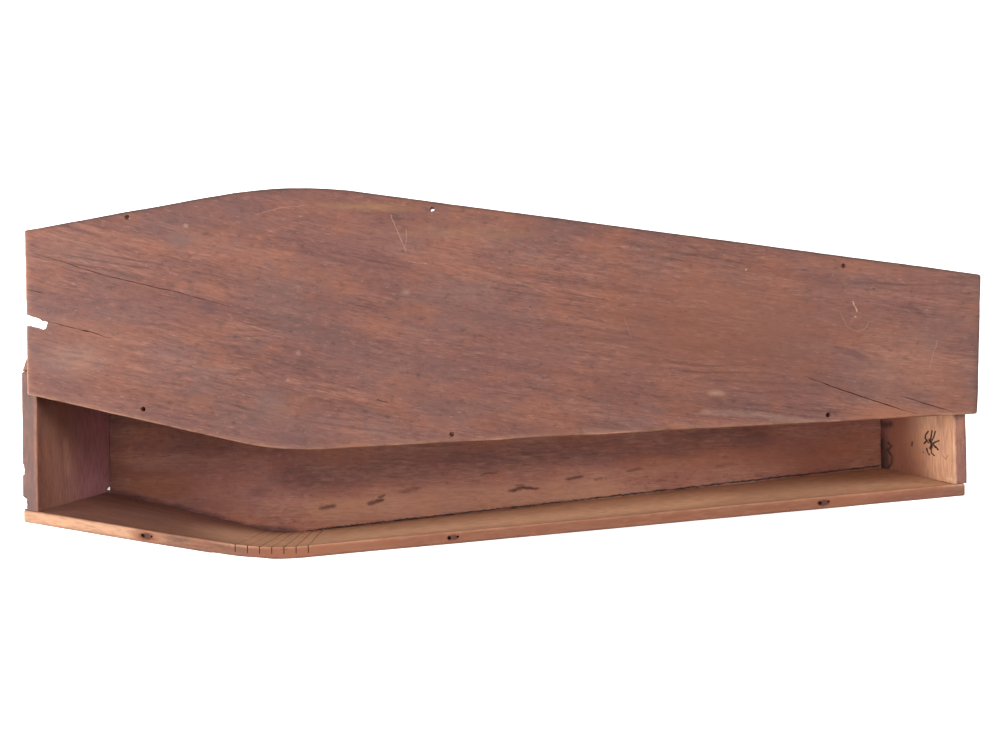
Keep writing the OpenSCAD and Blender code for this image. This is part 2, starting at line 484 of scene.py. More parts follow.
@dataclass(frozen=True)
class Wood:
    """Old wood with figure, streaks, pores, blotches, marks, and arrises painted pale for wear and
    painted highlight and dark for darker edges and painted shade.

    Attributes:
        name: Name of the material.
        tones: Dark, middle and light tone of the figure.
        clouds: Tones of the cool, warm and deep clouds, and how much of each shows.
        grain_turn: Angle of the grain to the board's length, in degrees.
        grain_bend: How the grain curves along the board, per metre.
        origin: Place in the tree that the board was sawn from.
        curl: Middle and reach, in millimetres, of the stretch where the figure curls.
        line_share: How strongly the ring lines show.
        ring_pace: Turn of the rings' wave across and through the board, in radians a metre.
        bump: Strength and depth of the grain's relief.
        ragged: How far the outline of a mark strays, in metres.
        marks: Marks in it.
    """

    name: str
    tones: tuple[Colour, Colour, Colour]
    clouds: tuple[tuple[Colour, float], ...]
    grain_turn: float = 0.0
    grain_bend: float = 0.0
    origin: Point3 = (0.0, 0.0, 0.0)
    curl: tuple[Point3, Point3] | None = None
    line_share: float = 0.35
    ring_pace: Point2 = (620.0, 300.0)
    bump: Point2 = (0.5, 0.0006)
    ragged: float = 0.004
    marks: tuple[Mark, ...] = ()

    def material(self) -> bpy.types.Material:
        """Makes the material.

        Returns:
            The material, which reads the attributes board, worn and dark_edges_and_shade of its
            piece.
        """
        tree = Tree(self.name)
        board = tree.node("ShaderNodeAttribute", {"attribute_name": "board"}, {}).outputs["Vector"]
        placed = tree.vector("ADD", board, self.origin)
        turn = {"Vector": placed, "Angle": -math.radians(self.grain_turn)}
        turned = tree.node("ShaderNodeVectorRotate", {"rotation_type": "Z_AXIS"}, turn).outputs[0]
        if self.grain_bend:
            parts = tree.node("ShaderNodeSeparateXYZ", {}, {0: turned}).outputs
            along, across = Value(tree, parts[0]), Value(tree, parts[1])
            bent = {"X": along, "Y": across + along * along * self.grain_bend, "Z": parts[2]}
            turned = tree.node("ShaderNodeCombineXYZ", {}, bent).outputs[0]
        height, colour = self._figure(tree, board, turned)
        colour = self._blotches(tree, placed, turned, colour)
        colour = self._marks(tree, board, placed, colour)
        colour, worn = self._arrises(tree, placed, colour)
        strength, distance = self.bump
        bump = {"Height": height, "Strength": strength, "Distance": distance}
        normal = tree.node("ShaderNodeBump", {}, bump).outputs[0]
        shine = tree.noise(placed, (0.05, 0.03, 0.03), 2) * 0.2 + 0.45
        inputs = {
            "Base Color": colour,
            "Roughness": (shine + height * 0.12 + worn * 0.1).held(),
            "Normal": normal,
            "Specular IOR Level": 0.42,
        }
        tree.output(tree.node("ShaderNodeBsdfPrincipled", {}, inputs).outputs[0])
        return tree.material

    def _figure(self, tree: Tree, board: Paint, grain: Paint) -> tuple[Value, Paint]:
        """Bands, rings, streaks and pores that follow the grain.

        Args:
            tree: Nodes to add to.
            board: Board coordinates.
            grain: The same, turned to the grain.

        Returns:
            Height for the bump, and the colour.
        """
        bands = tree.noise(grain, (0.30, 0.020, 0.024), 3, 0.6)
        wander = tree.noise(grain, (0.26, 0.05, 0.05), 2, 0.5)
        streaks = tree.noise(grain, (0.024, 0.0028, 0.0028), 3, 0.6)
        fibres = tree.noise(grain, (0.013, 0.0010, 0.0010), 2, 0.6)
        across = tree.node("ShaderNodeSeparateXYZ", {}, {0: grain}).outputs
        shown = tree.noise(grain, (0.22, 0.035, 0.035), 2).step(0.5, 0.66)
        if self.curl:
            middle, reach = (tuple(MM * c for c in part) for part in self.curl)
            away = tree.vector("SUBTRACT", board, middle)
            away = tree.vector("MULTIPLY", away, tuple(1 / c for c in reach))
            inside = tree.length(away).step(1.1, 0.3)
            bend = tree.noise(grain, (0.055, 0.03, 0.05), 1) - 0.5
            wander = wander + inside * bend * 0.8
            shown = shown.most(inside * 0.7)
        pace_across, pace_through = self.ring_pace
        depth = Value(tree, across[1]) * pace_across + Value(tree, across[2]) * pace_through
        ring = (depth + wander * 30.0).sine() * 0.5 + 0.5
        lines = ring.step(0.62, 1.0) * shown
        tone = bands * 0.36 + streaks * 0.34 + fibres * 0.34
        dark, middle_tone, light = self.tones
        stops = [(0.385, dark), (0.52, middle_tone), (0.66, light)]
        colour = tree.node("ShaderNodeValToRGB", {"stops": stops}, {0: tone}).outputs[0]
        colour = tree.mix(lines * self.line_share, colour, tuple(c * 0.6 for c in dark))
        return streaks * 0.7 + fibres * 0.5, colour

    def _blotches(self, tree: Tree, placed: Paint, grain: Paint, colour: Paint) -> Paint:
        """Large cool clouds, small warm ones, pale specks and dark flecks.

        Args:
            tree: Nodes to add to.
            placed: Board coordinates in the tree.
            grain: The same, turned to the grain.
            colour: Colour so far.

        Returns:
            The colour.
        """
        moved = placed
        for number, (tone, share) in enumerate(self.clouds):
            moved = tree.vector("ADD", placed, (3.1 * number, 1.7 * number, 0.9))
            size = (0.13, 0.07, 0.07) if number % 2 == 0 else (0.075, 0.042, 0.042)
            cloud = tree.noise(moved, size, 3, 0.62).step(0.42, 0.66)
            colour = tree.mix(cloud * share, colour, tone)
        mottle = tree.noise(moved, (0.011, 0.007, 0.007), 3, 0.65)
        shade = tuple(c * 0.52 for c in self.tones[0])
        colour = tree.mix(mottle.step(0.54, 0.78) * 0.55, colour, shade)
        colour = tree.mix(mottle.step(0.46, 0.24) * 0.35, colour, self.tones[2])
        specks = tree.noise(moved, (0.0036, 0.0026, 0.0026), 1, 0.5)
        colour = tree.mix(specks.step(0.72, 0.84) * 0.4, colour, Tint.PALE.value)
        flecks = tree.noise(grain, (0.011, 0.0022, 0.0022), 1, 0.5)
        colour = tree.mix(flecks.step(0.6, 0.78) * 0.4, colour, shade)
        return tree.mix(flecks.step(0.36, 0.2) * 0.3, colour, Tint.PALE.value)

    def _marks(self, tree: Tree, board: Paint, placed: Paint, colour: Paint) -> Paint:
        """Lays the marks of each tint over the colour, with broken outlines.

        Args:
            tree: Nodes to add to.
            board: Board coordinates.
            placed: Board coordinates in the tree.
            colour: Colour so far.

        Returns:
            The colour.
        """
        scaled = {"Vector": placed, "Scale": 170.0, "Detail": 3.0}
        shake = tree.node("ShaderNodeTexNoise", {}, scaled).outputs["Color"]
        shake = tree.vector("SUBTRACT", shake, (0.5, 0.5, 0.5))
        shaken = tree.vector("MULTIPLY_ADD", shake, (self.ragged,) * 3, board)
        patchy = tree.noise(placed, (0.018, 0.0035, 0.0035), 2).step(0.32, 0.62) * 0.45 + 0.55
        for tint in Tint:
            found = None
            for mark in (m for m in self.marks if m.tint is tint):
                here = mark.spread(tree, shaken)
                found = here if found is None else found.most(here)
            if found is not None:
                colour = tree.mix(found * patchy, colour, tint.value)
        return colour

    def _arrises(self, tree: Tree, placed: Paint, colour: Paint) -> tuple[Paint, Value]:
        """Paints the arrises pale for wear and painted highlight, and dark for darker edges and
        painted shade.

        Args:
            tree: Nodes to add to.
            placed: Board coordinates in the tree.
            colour: Colour so far.

        Returns:
            The colour, and how pale the arris paint makes the surface.
        """
        worn = tree.value("ShaderNodeAttribute", {"attribute_name": "worn"}, {}, "Fac")
        dark_edges_and_shade = tree.value("ShaderNodeAttribute", {"attribute_name": "dark_edges_and_shade"}, {}, "Fac")
        broken = tree.noise(placed, (0.018, 0.006, 0.006), 3, 0.65)
        worn = (worn * (broken.step(0.3, 0.62) * 0.7 + 0.3)).held()
        dark_edges_and_shade = (dark_edges_and_shade * (broken.step(0.7, 0.4) * 0.5 + 0.5)).held()
        # Dark arris paint: darker low edges of the box's boards, and painted shade on the lid's far,
        # foot and lower near arrises.
        colour = tree.mix(dark_edges_and_shade, colour, Tint.INK.value)
        # Pale arris paint: wear, and painted highlight on the lid's head and near top arrises.
        return tree.mix(worn, colour, Tint.TAN.value), worn


# ---------------------------------------------------------------- outlines


@dataclass(frozen=True)
class BentEdge:
    """One long edge of an outline: a straight from the head, a round bend, a straight to the foot.

    Attributes:
        length: Length of the outline.
        head_half: Half width at the head end.
        foot_half: Half width at the foot end.
        bend_at: Distance from the head end to the shoulder.
        half: Half width at the shoulder, where the straights would meet.
        radius: Radius of the bend.
    """

    length: float
    head_half: float
    foot_half: float
    bend_at: float
    half: float
    radius: float

    def half_width(self, x: Array, inset: Array | float = 0.0) -> Array:
        """Half width at distances from the head end, moved inwards square to the edge.

        On a straight it is the line's height less inset over the cosine of its slope, and on
        the bend it is the circle's.

        Args:
            x: Distances from the head end.
            inset: Move inwards.

        Returns:
            Half width at each distance.
        """
        rise = math.atan2(self.half - self.head_half, self.bend_at)
        fall = math.atan2(self.half - self.foot_half, self.length - self.bend_at)
        reach = self.radius * math.tan((rise + fall) / 2)
        centre_x = self.bend_at - reach * math.cos(rise) + self.radius * math.sin(rise)
        centre_y = self.half - reach * math.sin(rise) - self.radius * math.cos(rise)
        radius = self.radius - inset
        before = self.head_half + np.tan(rise) * x - inset / math.cos(rise)
        after = self.foot_half + np.tan(fall) * (self.length - x) - inset / math.cos(fall)
        round_part = centre_y + np.sqrt(np.maximum(radius**2 - (x - centre_x) ** 2, 0))
        bent = np.where(x < centre_x - radius * math.sin(rise), before, round_part)
        return np.where(x > centre_x + radius * math.sin(fall), after, bent)


@dataclass
class Box:
    """Sizes of the box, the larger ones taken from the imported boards."""

    floor_bend_at: float = 0.276
    rim_bend_at: float = 0.306
    floor_half: float = 0.178
    near_rim_half: float = 0.1596
    far_rim_half: float = 0.172
    floor_bend_radius: float = 0.210
    rim_bend_radius: float = 0.458
    head_width: float = 0.209
    foot_width: float = 0.176
    side_thickness: float = 0.0159
    joint_gap: float = 0.00025
    bottom_gap: float = 0.00006
    head_x: float = field(init=False)
    length: float = field(init=False)
    height: float = field(init=False)

    def __post_init__(self) -> None:
        """Reads the length and height from the near side board."""
        low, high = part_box("near_side")
        self.head_x = low.x
        self.length = high.x - low.x
        self.height = high.z

    def _line(self, bend_at: float, half: float, radius: float) -> BentEdge:
        """Outline with the box's own ends."""
        ends = self.length, self.head_width / 2, self.foot_width / 2
        return BentEdge(*ends, bend_at, half, radius)

    def wall(self, x: Array, z: Array, inset: Array | float, near: bool) -> Array:
        """Y of a side board's face, between its outline on the floor and its outline at the rim.

        Args:
            x: Distances from the head end.
            z: Heights.
            inset: Depths below the outer face.
            near: Whether it is the near side board.

        Returns:
            Y at each place.
        """
        rim_half = self.near_rim_half if near else self.far_rim_half
        floor = self._line(self.floor_bend_at, self.floor_half, self.floor_bend_radius)
        rim = self._line(self.rim_bend_at, rim_half, self.rim_bend_radius)
        low = floor.half_width(x, inset)
        y = low + (rim.half_width(x, inset) - low) * z / self.height
        return -y if near else y


# ---------------------------------------------------------------- boards


class Face(Enum):
    """A face of a board in board space: its axis, and 0 for the low end or 1 for the high one."""

    HEAD = (0, 0)
    FOOT = (0, 1)
    LOW = (1, 0)
    HIGH = (1, 1)
    OUTSIDE = (2, 0)
    INSIDE = (2, 1)


Arrises = dict[tuple[Face, Face], float]
Cutter = tuple[Skin, Array]
Reach = Sequence[tuple[Array, Array]]
Shape = tuple[Skin, Array, Reach]


def raised(board: Array, rise: Array) -> Array:
    """Points in board space, moved through the thickness by rise."""
    return board + rise[:, None] * [0, 0, 1]


@dataclass
class Board:
    """A board worked out on the skin of a lattice, carved and dressed.

    Attributes:
        node: CAD node that it stands for.
        slot: Material slot; not used.
        wood: Finish.
        step: Spacing of the lattice.
        easing: Radius of its arrises.
        seed: Number that fixes its unevenness.
        arris_paint_reach: How far the pale and dark arris paint spreads from an arris.
        worn: How pale each arris is painted: wear, and on the lid painted highlight.
        dark_edges_and_shade: How dark each arris is painted: darker low edges, and on the lid
            painted shade.
        dark_edges_and_shade: How dark each dirty arris is.
        mirrored: Whether board space is turned over in the box.
        wave: How far its faces rise and fall.
        box: Sizes of the box that it belongs to.
    """

    node: str
    slot: str
    wood: Wood
    step: float = 0.005
    easing: float = 0.0011
    seed: int = 1
    arris_paint_reach: float = 0.0022
    worn: Arrises = field(default_factory=dict)
    dark_edges_and_shade: Arrises = field(default_factory=dict)
    mirrored: bool = False
    wave: float = 0.0003
    box: Box = field(default_factory=Box)

    LEAST_EASING = 0.0003
    SHARP_ABOVE = math.radians(34)

    def shaped(self) -> Shape:
        """Works out the board.

        Returns:
            Its skin, its points in board space, and each point's distance to the low and the
            high face along each axis.
        """
        raise NotImplementedError

    def placed(self, board: Array) -> Array:
        """Carries points from board space to the box."""
        raise NotImplementedError

    def unplaced(self, points: Array) -> Array:
        """Carries points from the box back to board space."""
        raise NotImplementedError

    def span(self, board: Array) -> Reach:
        """Low and high end of the board along each axis, at each point in board space."""
        raise NotImplementedError

    def cutters(self) -> Iterable[Cutter]:
        """Closed skins, in board space, that are carved out of the board."""
        return ()

    def build(self) -> bpy.types.Object:
        """Makes, carves and dresses the board.

        Returns:
            The finished piece.
        """
        skin, board, reach = self.shaped()
        radius = self.easing * (1.05 + 0.75 * ripple(board, 0.09, self.seed))
        radius = np.clip(radius + self.blunt(board), self.LEAST_EASING, Lines.ARRIS[-1])
        board = board + np.stack(eased(reach, radius), 1)
        board = self.aged(board, reach)
        piece = skin.mesh(self.node, self.placed(board), self.mirrored)
        piece = self._carve(piece)
        self._note(piece)
        piece.data.materials.append(self.wood.material())
        piece.data.shade_smooth()
        piece.data.set_sharp_from_angle(angle=self.SHARP_ABOVE)
        piece.name = self.node + "_wood"
        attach(piece, "root")
        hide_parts(self.node)
        log.info("%s: %d vertices", piece.name, len(piece.data.vertices))
        return piece

    def blunt(self, board: Array) -> Array | float:
        """Extra rounding at each point."""
        return 0.0

    def aged(self, board: Array, reach: Reach) -> Array:
        """Board space points after the board's own unevenness."""
        return board

    def _carve(self, piece: bpy.types.Object) -> bpy.types.Object:
        """Subtracts the cutters one after another.

        Args:
            piece: Board so far.

        Returns:
            The board with the result applied.
        """
        tools = []
        for number, (skin, board) in enumerate(self.cutters()):
            name = f"{self.node}_cutter_{number}"
            tools.append(skin.mesh(name, self.placed(board), self.mirrored))
            cut = piece.modifiers.new(name, "BOOLEAN")
            cut.operation = "DIFFERENCE"
            cut.solver = "MANIFOLD"
            cut.object = tools[-1]
        if tools:
            ready = piece.evaluated_get(bpy.context.evaluated_depsgraph_get())
            mesh = bpy.data.meshes.new_from_object(ready)
            mesh.materials.clear()
            mesh.polygons.foreach_set("material_index", np.zeros(len(mesh.polygons), np.int32))
            piece.modifiers.clear()
            piece.data = mesh
            for tool in tools:
                bpy.data.objects.remove(tool)
        return piece

    def _note(self, piece: bpy.types.Object) -> None:
        """Stores board coordinates and the arris paint at each vertex: pale for wear and painted
        highlight, dark for darker edges and painted shade.

        An arris's paint falls off with the distance to both of its faces.

        Args:
            piece: Finished board.
        """
        mesh = piece.data
        points = np.zeros(len(mesh.vertices) * 3, np.float32)
        mesh.vertices.foreach_get("co", points)
        board = self.unplaced(points.reshape(-1, 3).astype(float))
        ends = self.span(board)
        near = [
            [np.exp(-np.abs(board[:, axis] - end) / self.arris_paint_reach) for end in ends[axis]]
            for axis in range(3)
        ]
        noted = mesh.attributes.new("board", "FLOAT_VECTOR", "POINT")
        noted.data.foreach_set("vector", board.astype(np.float32).ravel())
        for name, arrises in (("worn", self.worn), ("dark_edges_and_shade", self.dark_edges_and_shade)):
            total = np.zeros(len(board))
            for (one, other), strength in arrises.items():
                here = near[one.value[0]][one.value[1]] * near[other.value[0]][other.value[1]]
                total = np.maximum(total, strength * here)
            noted = mesh.attributes.new(name, "FLOAT", "POINT")
            noted.data.foreach_set("value", total.astype(np.float32))


def hole(at: Point3, radius: float, depth: float, flare: float, axis: int, seed: int) -> Cutter:
    """Round cutter of a drilled hole that is a little ragged and flares at its mouth.

    A square grid is squeezed into a disc: u times the root of 1 less half of v squared, and
    the same for v. The radius grows towards the mouth by the flare.

    Args:
        at: Middle of the mouth, in board space.
        radius: Radius of the hole.
        depth: Depth of the hole.
        flare: Growth of the radius at the mouth.
        axis: Axis of the hole in board space, 1 or 2.
        seed: Number that fixes its raggedness.

    Returns:
        The cutter.
    """
    over = 0.001
    levels = np.array([-depth, -0.006, -0.0022, -0.0008, 0, over])
    half = 4
    skin = Skin.of(2 * half + 1, 2 * half + 1, len(levels))
    u, v = skin.i / half - 1, skin.j / half - 1
    disc_u = u * np.sqrt(1 - v * v / 2)
    disc_v = v * np.sqrt(1 - u * u / 2)
    level = levels[skin.k]
    grown = radius + flare * smooth(level, -0.0024, 0.0002)
    flat = np.stack([disc_u, disc_v], 1)
    rough = np.hypot(disc_u, disc_v) * ripple(np.column_stack([flat * radius, level]), 0.004, seed)
    grown = grown + rough * (0.06 * radius + 0.5 * flare * smooth(level, -0.003, 0))
    board = np.zeros((len(u), 3))
    board[:, 0] = at[0] + disc_u * grown
    board[:, axis] = at[axis] + level
    other = 3 - axis
    board[:, other] = at[other] + (disc_v if axis == 2 else -disc_v) * grown
    return skin, board


def bite(at: Point3, size: Point3, seed: int) -> Cutter:
    """Rough egg-shaped cutter for a place where wood has broken away.

    The skin of a cube is pushed out to a sphere, stretched, and roughened along its radius.

    Args:
        at: Middle, in board space.
        size: Half size along each axis.
        seed: Number that fixes its roughness.

    Returns:
        The cutter.
    """
    half = 7
    skin = Skin.of(*[2 * half + 1] * 3)
    cube = np.stack([skin.i, skin.j, skin.k], 1) / half - 1
    ball = cube / np.linalg.norm(cube, axis=1)[:, None]
    rough = 1 + 0.16 * ripple(ball, 0.8, seed) + 0.06 * ripple(ball, 0.25, seed + 1)
    return skin, np.array(at) + ball * rough[:, None] * np.array(size)


def split(path: Sequence[Point2], width: float, top: float, depth: float, seed: int) -> Cutter:
    """Thin wedge-shaped cutter of a crack.

    A section, wide at the top and narrow at the bottom, is carried along a path that wavers.
    Its width swells from almost nothing at the ends as the root of a half sine.

    Args:
        path: Points in millimetres, (s, w).
        width: Greatest width at the top.
        top: Height of the surface.
        depth: Depth of the crack.
        seed: Number that fixes how it wavers.

    Returns:
        The cutter.
    """
    points = np.array(path) * MM
    run = np.concatenate([[0], np.cumsum(np.linalg.norm(np.diff(points, axis=0), axis=1))])
    count = max(6, round(run[-1] / 0.004))
    at = np.linspace(0, run[-1], count)
    s = np.interp(at, run, points[:, 0])
    w = np.interp(at, run, points[:, 1])
    w = w + 0.0003 * ripple(np.column_stack([s, w]), 0.028, seed)
    swell = np.sqrt(np.sin(np.linspace(0.03, math.pi - 0.03, count)))
    half = width / 2 * swell * (1 + 0.35 * ripple(np.column_stack([s, w]), 0.016, seed + 1))
    skin = Skin.of(count, 2, 2)
    share = np.where(skin.k == 1, 1.0, 0.25)
    side = np.where(skin.j == 1, 1.0, -1.0)
    board = np.stack(
        [
            s[skin.i],
            w[skin.i] + side * share * np.maximum(half[skin.i], 0.00004),
            np.where(skin.k == 1, top + 0.002, top - depth * swell[skin.i]),
        ],
        1,
    )
    return skin, board


@dataclass
class SideBoard(Board):
    """A side of the box: one board, sawn part way through from the inside and bent.

    s runs along the box from the head end, w up from the floor, and h in from the outer face.
    """

    wave: float = 0.00025
    near: bool = True
    kerf_count: int = 7
    kerf_width: float = 0.0011
    kerf_share: float = 0.6
    kerf_before: Point2 = (0.021, 0.035)
    kerf_pitch: Point2 = (0.0144, 0.0156)
    holes: tuple[float, ...] = ()
    hole_pair_gap: float = 0.011
    screw: Point2 = (0.0020, 0.022)
    nail: Point2 = (0.0012, 0.018)
    hole_flare: float = 0.0006
    nail_off: float = 0.0008
    splinter: Point2 = (0.240, 0.322)
    splinter_height: float = 0.016
    splinter_depth: float = 0.0011
    slant: float = 0.0055

    def _kerfs(self) -> tuple[Array, Array]:
        """Places the saw cuts.

        Returns:
            Distance of each cut's middle from the head end, on the floor and at the rim.
        """
        numbers = np.arange(self.kerf_count)
        bends = self.box.floor_bend_at, self.box.rim_bend_at
        floor, rim = (
            bend - before + numbers * pitch
            for bend, before, pitch in zip(bends, self.kerf_before, self.kerf_pitch)
        )
        return floor, rim

    def _columns(self) -> tuple[Array, Array, Array, Array]:
        """Lattice lines along the board, with close ones at each saw cut.

        Returns:
            Their distance from the head end on the floor and at the rim, the share of the
            thickness that is left, and how much the cut's lip is rounded.
        """
        length = self.box.length
        floor_cut, rim_cut = self._kerfs()
        lines = Lines.even(length, self.step)
        plain = lines.at(np.arange(len(lines.share)), length)
        far, close, sliver = 0.0032, 0.0012, 0.00003
        half = self.kerf_width / 2
        around = np.array([-half - far, -half - close, -half, -half + sliver])
        around = np.concatenate([around, -around[::-1]])
        kept = np.array([1, 1, 1, 1 - self.kerf_share] + [1 - self.kerf_share, 1, 1, 1])
        lip = np.array([0.08, 0.35, 1, 0, 0, 1, 0.35, 0.08])
        clear = np.abs(plain[:, None] - rim_cut).min(1) > half + 0.0042
        rim = np.concatenate([plain[clear], (rim_cut[:, None] + around).ravel()])
        kept = np.concatenate([np.ones(clear.sum()), np.tile(kept, self.kerf_count)])
        lip = np.concatenate([np.zeros(clear.sum()), np.tile(lip, self.kerf_count)])
        shift = rim_cut - floor_cut
        ease = 0.09
        knots = [0, rim_cut[0] - ease, *rim_cut, rim_cut[-1] + ease, length]
        floor = rim - np.interp(rim, knots, [0, 0, *shift, 0, 0])
        order = np.argsort(rim)
        return floor[order], rim[order], kept[order], lip[order]

    def shaped(self) -> Shape:
        """Works out the board before it is bent: a plank with slanting saw cuts.

        Returns:
            Its skin, its points and their distances to the faces.
        """
        floor, rim, kept, lip = self._columns()
        box = self.box
        up = Lines.even(box.height, self.step + 0.001)
        through = Lines.even(box.side_thickness, 0.003)
        skin = Skin.of(len(rim), len(up.share), len(through.share))
        w = up.at(skin.j, box.height)
        h = through.at(skin.k, box.side_thickness)
        s = floor[skin.i] + (rim - floor)[skin.i] * w / box.height
        self._kept, self._lip = kept[skin.i], lip[skin.i]
        board = np.stack([s, w, h], 1)
        sizes = box.length, box.height, box.side_thickness
        return skin, board, [(c, size - c) for c, size in zip(board.T, sizes)]

    def aged(self, board: Array, reach: Reach) -> Array:
        """Presses the saw cuts in, strips off the near splinter, slants the far side's head end.

        Args:
            board: Points in board space.
            reach: Each point's distance to the faces.

        Returns:
            The moved points.
        """
        s, w, h = board.T
        box = self.box
        inner = smooth(h, 0.5 * box.side_thickness, box.side_thickness)
        h = h * self._kept - 0.0007 * self._lip * inner
        h = h + self.wave * ripple(board, 0.13, self.seed + 3)
        low = box.height - self.splinter_height
        top = smooth(w, low, low + 0.003)
        start, end = self.splinter
        strip = smooth(s, start, start + 0.004) * smooth(-s, -end, -end + 0.022) * float(self.near)
        outer = 1 - smooth(h, 0.0, 0.006)
        h = h + self.splinter_depth * top * strip * outer
        if not self.near:
            high = smooth(w, box.height - 0.14, box.height - 0.04)
            left = 1 - np.clip(h / box.side_thickness, 0, 1)
            s = s + self.slant * high * left * np.exp(-s / 0.02)
        return np.stack([s, w, h], 1)

    def blunt(self, board: Array) -> Array:
        """More rounding at the knocked outer corner of the head end, and along the rim.

        Args:
            board: Points in board space.

        Returns:
            Extra radius at each point.
        """
        s, w, h = board.T
        at_end = np.exp(-s / 0.012) * np.exp(-h / 0.006)
        return 0.0024 * at_end + 0.0008 * np.exp(-(self.box.height - w) / 0.01)

    def placed(self, board: Array) -> Array:
        """Bends the plank round the box.

        Args:
            board: Points in board space.

        Returns:
            Their places.
        """
        s, w, h = board.T
        y = self.box.wall(s, w, h, self.near)
        return np.stack([self.box.head_x + s, y, w], 1)

    def unplaced(self, points: Array) -> Array:
        """Straightens the box's side into a plank again.

        Args:
            points: Places of the points.

        Returns:
            The points in board space.
        """
        x, y, z = points.T
        s = x - self.box.head_x
        thick = self.box.side_thickness
        outer = np.abs(self.box.wall(s, z, 0.0, self.near))
        inner = np.abs(self.box.wall(s, z, thick, self.near))
        return np.stack([s, z, thick * (outer - np.abs(y)) / (outer - inner)], 1)

    def span(self, board: Array) -> Reach:
        """Ends of the plank."""
        return [(0, self.box.length), (0, self.box.height), (0, self.box.side_thickness)]

    def cutters(self) -> Iterable[Cutter]:
        """Holes of the screws and of the nails beside them, and the near side's broken corner.

        Yields:
            The cutters.
        """
        top = self.box.height
        middle = self.box.side_thickness / 2
        for number, at in enumerate(self.holes):
            seed = 40 * self.seed + 2 * number
            yield hole((at, top, middle), *self.screw, self.hole_flare, 1, seed)
            beside = at + self.hole_pair_gap, top, middle + self.nail_off
            yield hole(beside, *self.nail, self.hole_flare, 1, seed + 1)
        if self.near:
            knocked, size = (-0.001, top - 0.020, -0.002), (0.004, 0.014, 0.005)
            yield bite(knocked, size, 9)


@dataclass
class EndBoard(Board):
    """The head board or the foot board, between the sides.

    s runs across the box from the near side, w up from the floor, and h in from the outer face.
    """

    wave: float = 0.00022
    at_head: bool = True
    chips: tuple[tuple[Point3, Point3], ...] = ()

    def __post_init__(self) -> None:
        """Takes the board's place along the box from its CAD node."""
        low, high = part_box(self.node)
        self.outer_x = low.x if self.at_head else high.x
        self.thickness = high.x - low.x

    def _x(self, h: Array) -> Array:
        """X at a depth below the outer face."""
        return self.outer_x + (h if self.at_head else -h)

    def _sides(self, w: Array, h: Array) -> tuple[Array, Array]:
        """Y of the board's near and far ends.

        Args:
            w: Heights.
            h: Depths below the outer face.

        Returns:
            Y at each place, at the near end and at the far end.
        """
        along = self._x(h) - self.box.head_x
        inset = self.box.side_thickness + self.box.joint_gap
        return self.box.wall(along, w, inset, True), self.box.wall(along, w, inset, False)

    def shaped(self) -> Shape:
        """Works out the board, as wide as the room between the sides at each height and depth.

        Returns:
            Its skin, its points and their distances to the faces.
        """
        height = self.box.height
        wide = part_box(self.node)[1].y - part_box(self.node)[0].y
        across = Lines.even(wide, self.step)
        up = Lines.even(height, self.step)
        through = Lines.even(self.thickness, 0.003)
        skin = Skin.of(len(across.share), len(up.share), len(through.share))
        w = up.at(skin.j, height)
        h = through.at(skin.k, self.thickness)
        low, high = self._sides(w, h)
        s = low + across.at(skin.i, high - low)
        board = np.stack([s, w, h], 1)
        return skin, board, [(s - low, high - s), (w, height - w), (h, self.thickness - h)]

    def placed(self, board: Array) -> Array:
        """Stands the board in the box."""
        s, w, h = board.T
        return np.stack([self._x(h), s, w], 1)

    def unplaced(self, points: Array) -> Array:
        """Lays the board flat again.

        Args:
            points: Places of the points.

        Returns:
            The points in board space.
        """
        x, y, z = points.T
        depth = x - self.outer_x if self.at_head else self.outer_x - x
        return np.stack([y, z, depth], 1)

    def span(self, board: Array) -> Reach:
        """Ends of the board at each point."""
        _, w, h = board.T
        return [self._sides(w, h), (0, self.box.height), (0, self.thickness)]

    def aged(self, board: Array, reach: Reach) -> Array:
        """Lets the faces wave together."""
        return raised(board, self.wave * ripple(board, 0.11, self.seed + 3))

    def cutters(self) -> Iterable[Cutter]:
        """Chips out of the arrises and corners.

        Yields:
            The cutters.
        """
        for number, (at, size) in enumerate(self.chips):
            yield bite(at, size, 10 * self.seed + 3 * number)


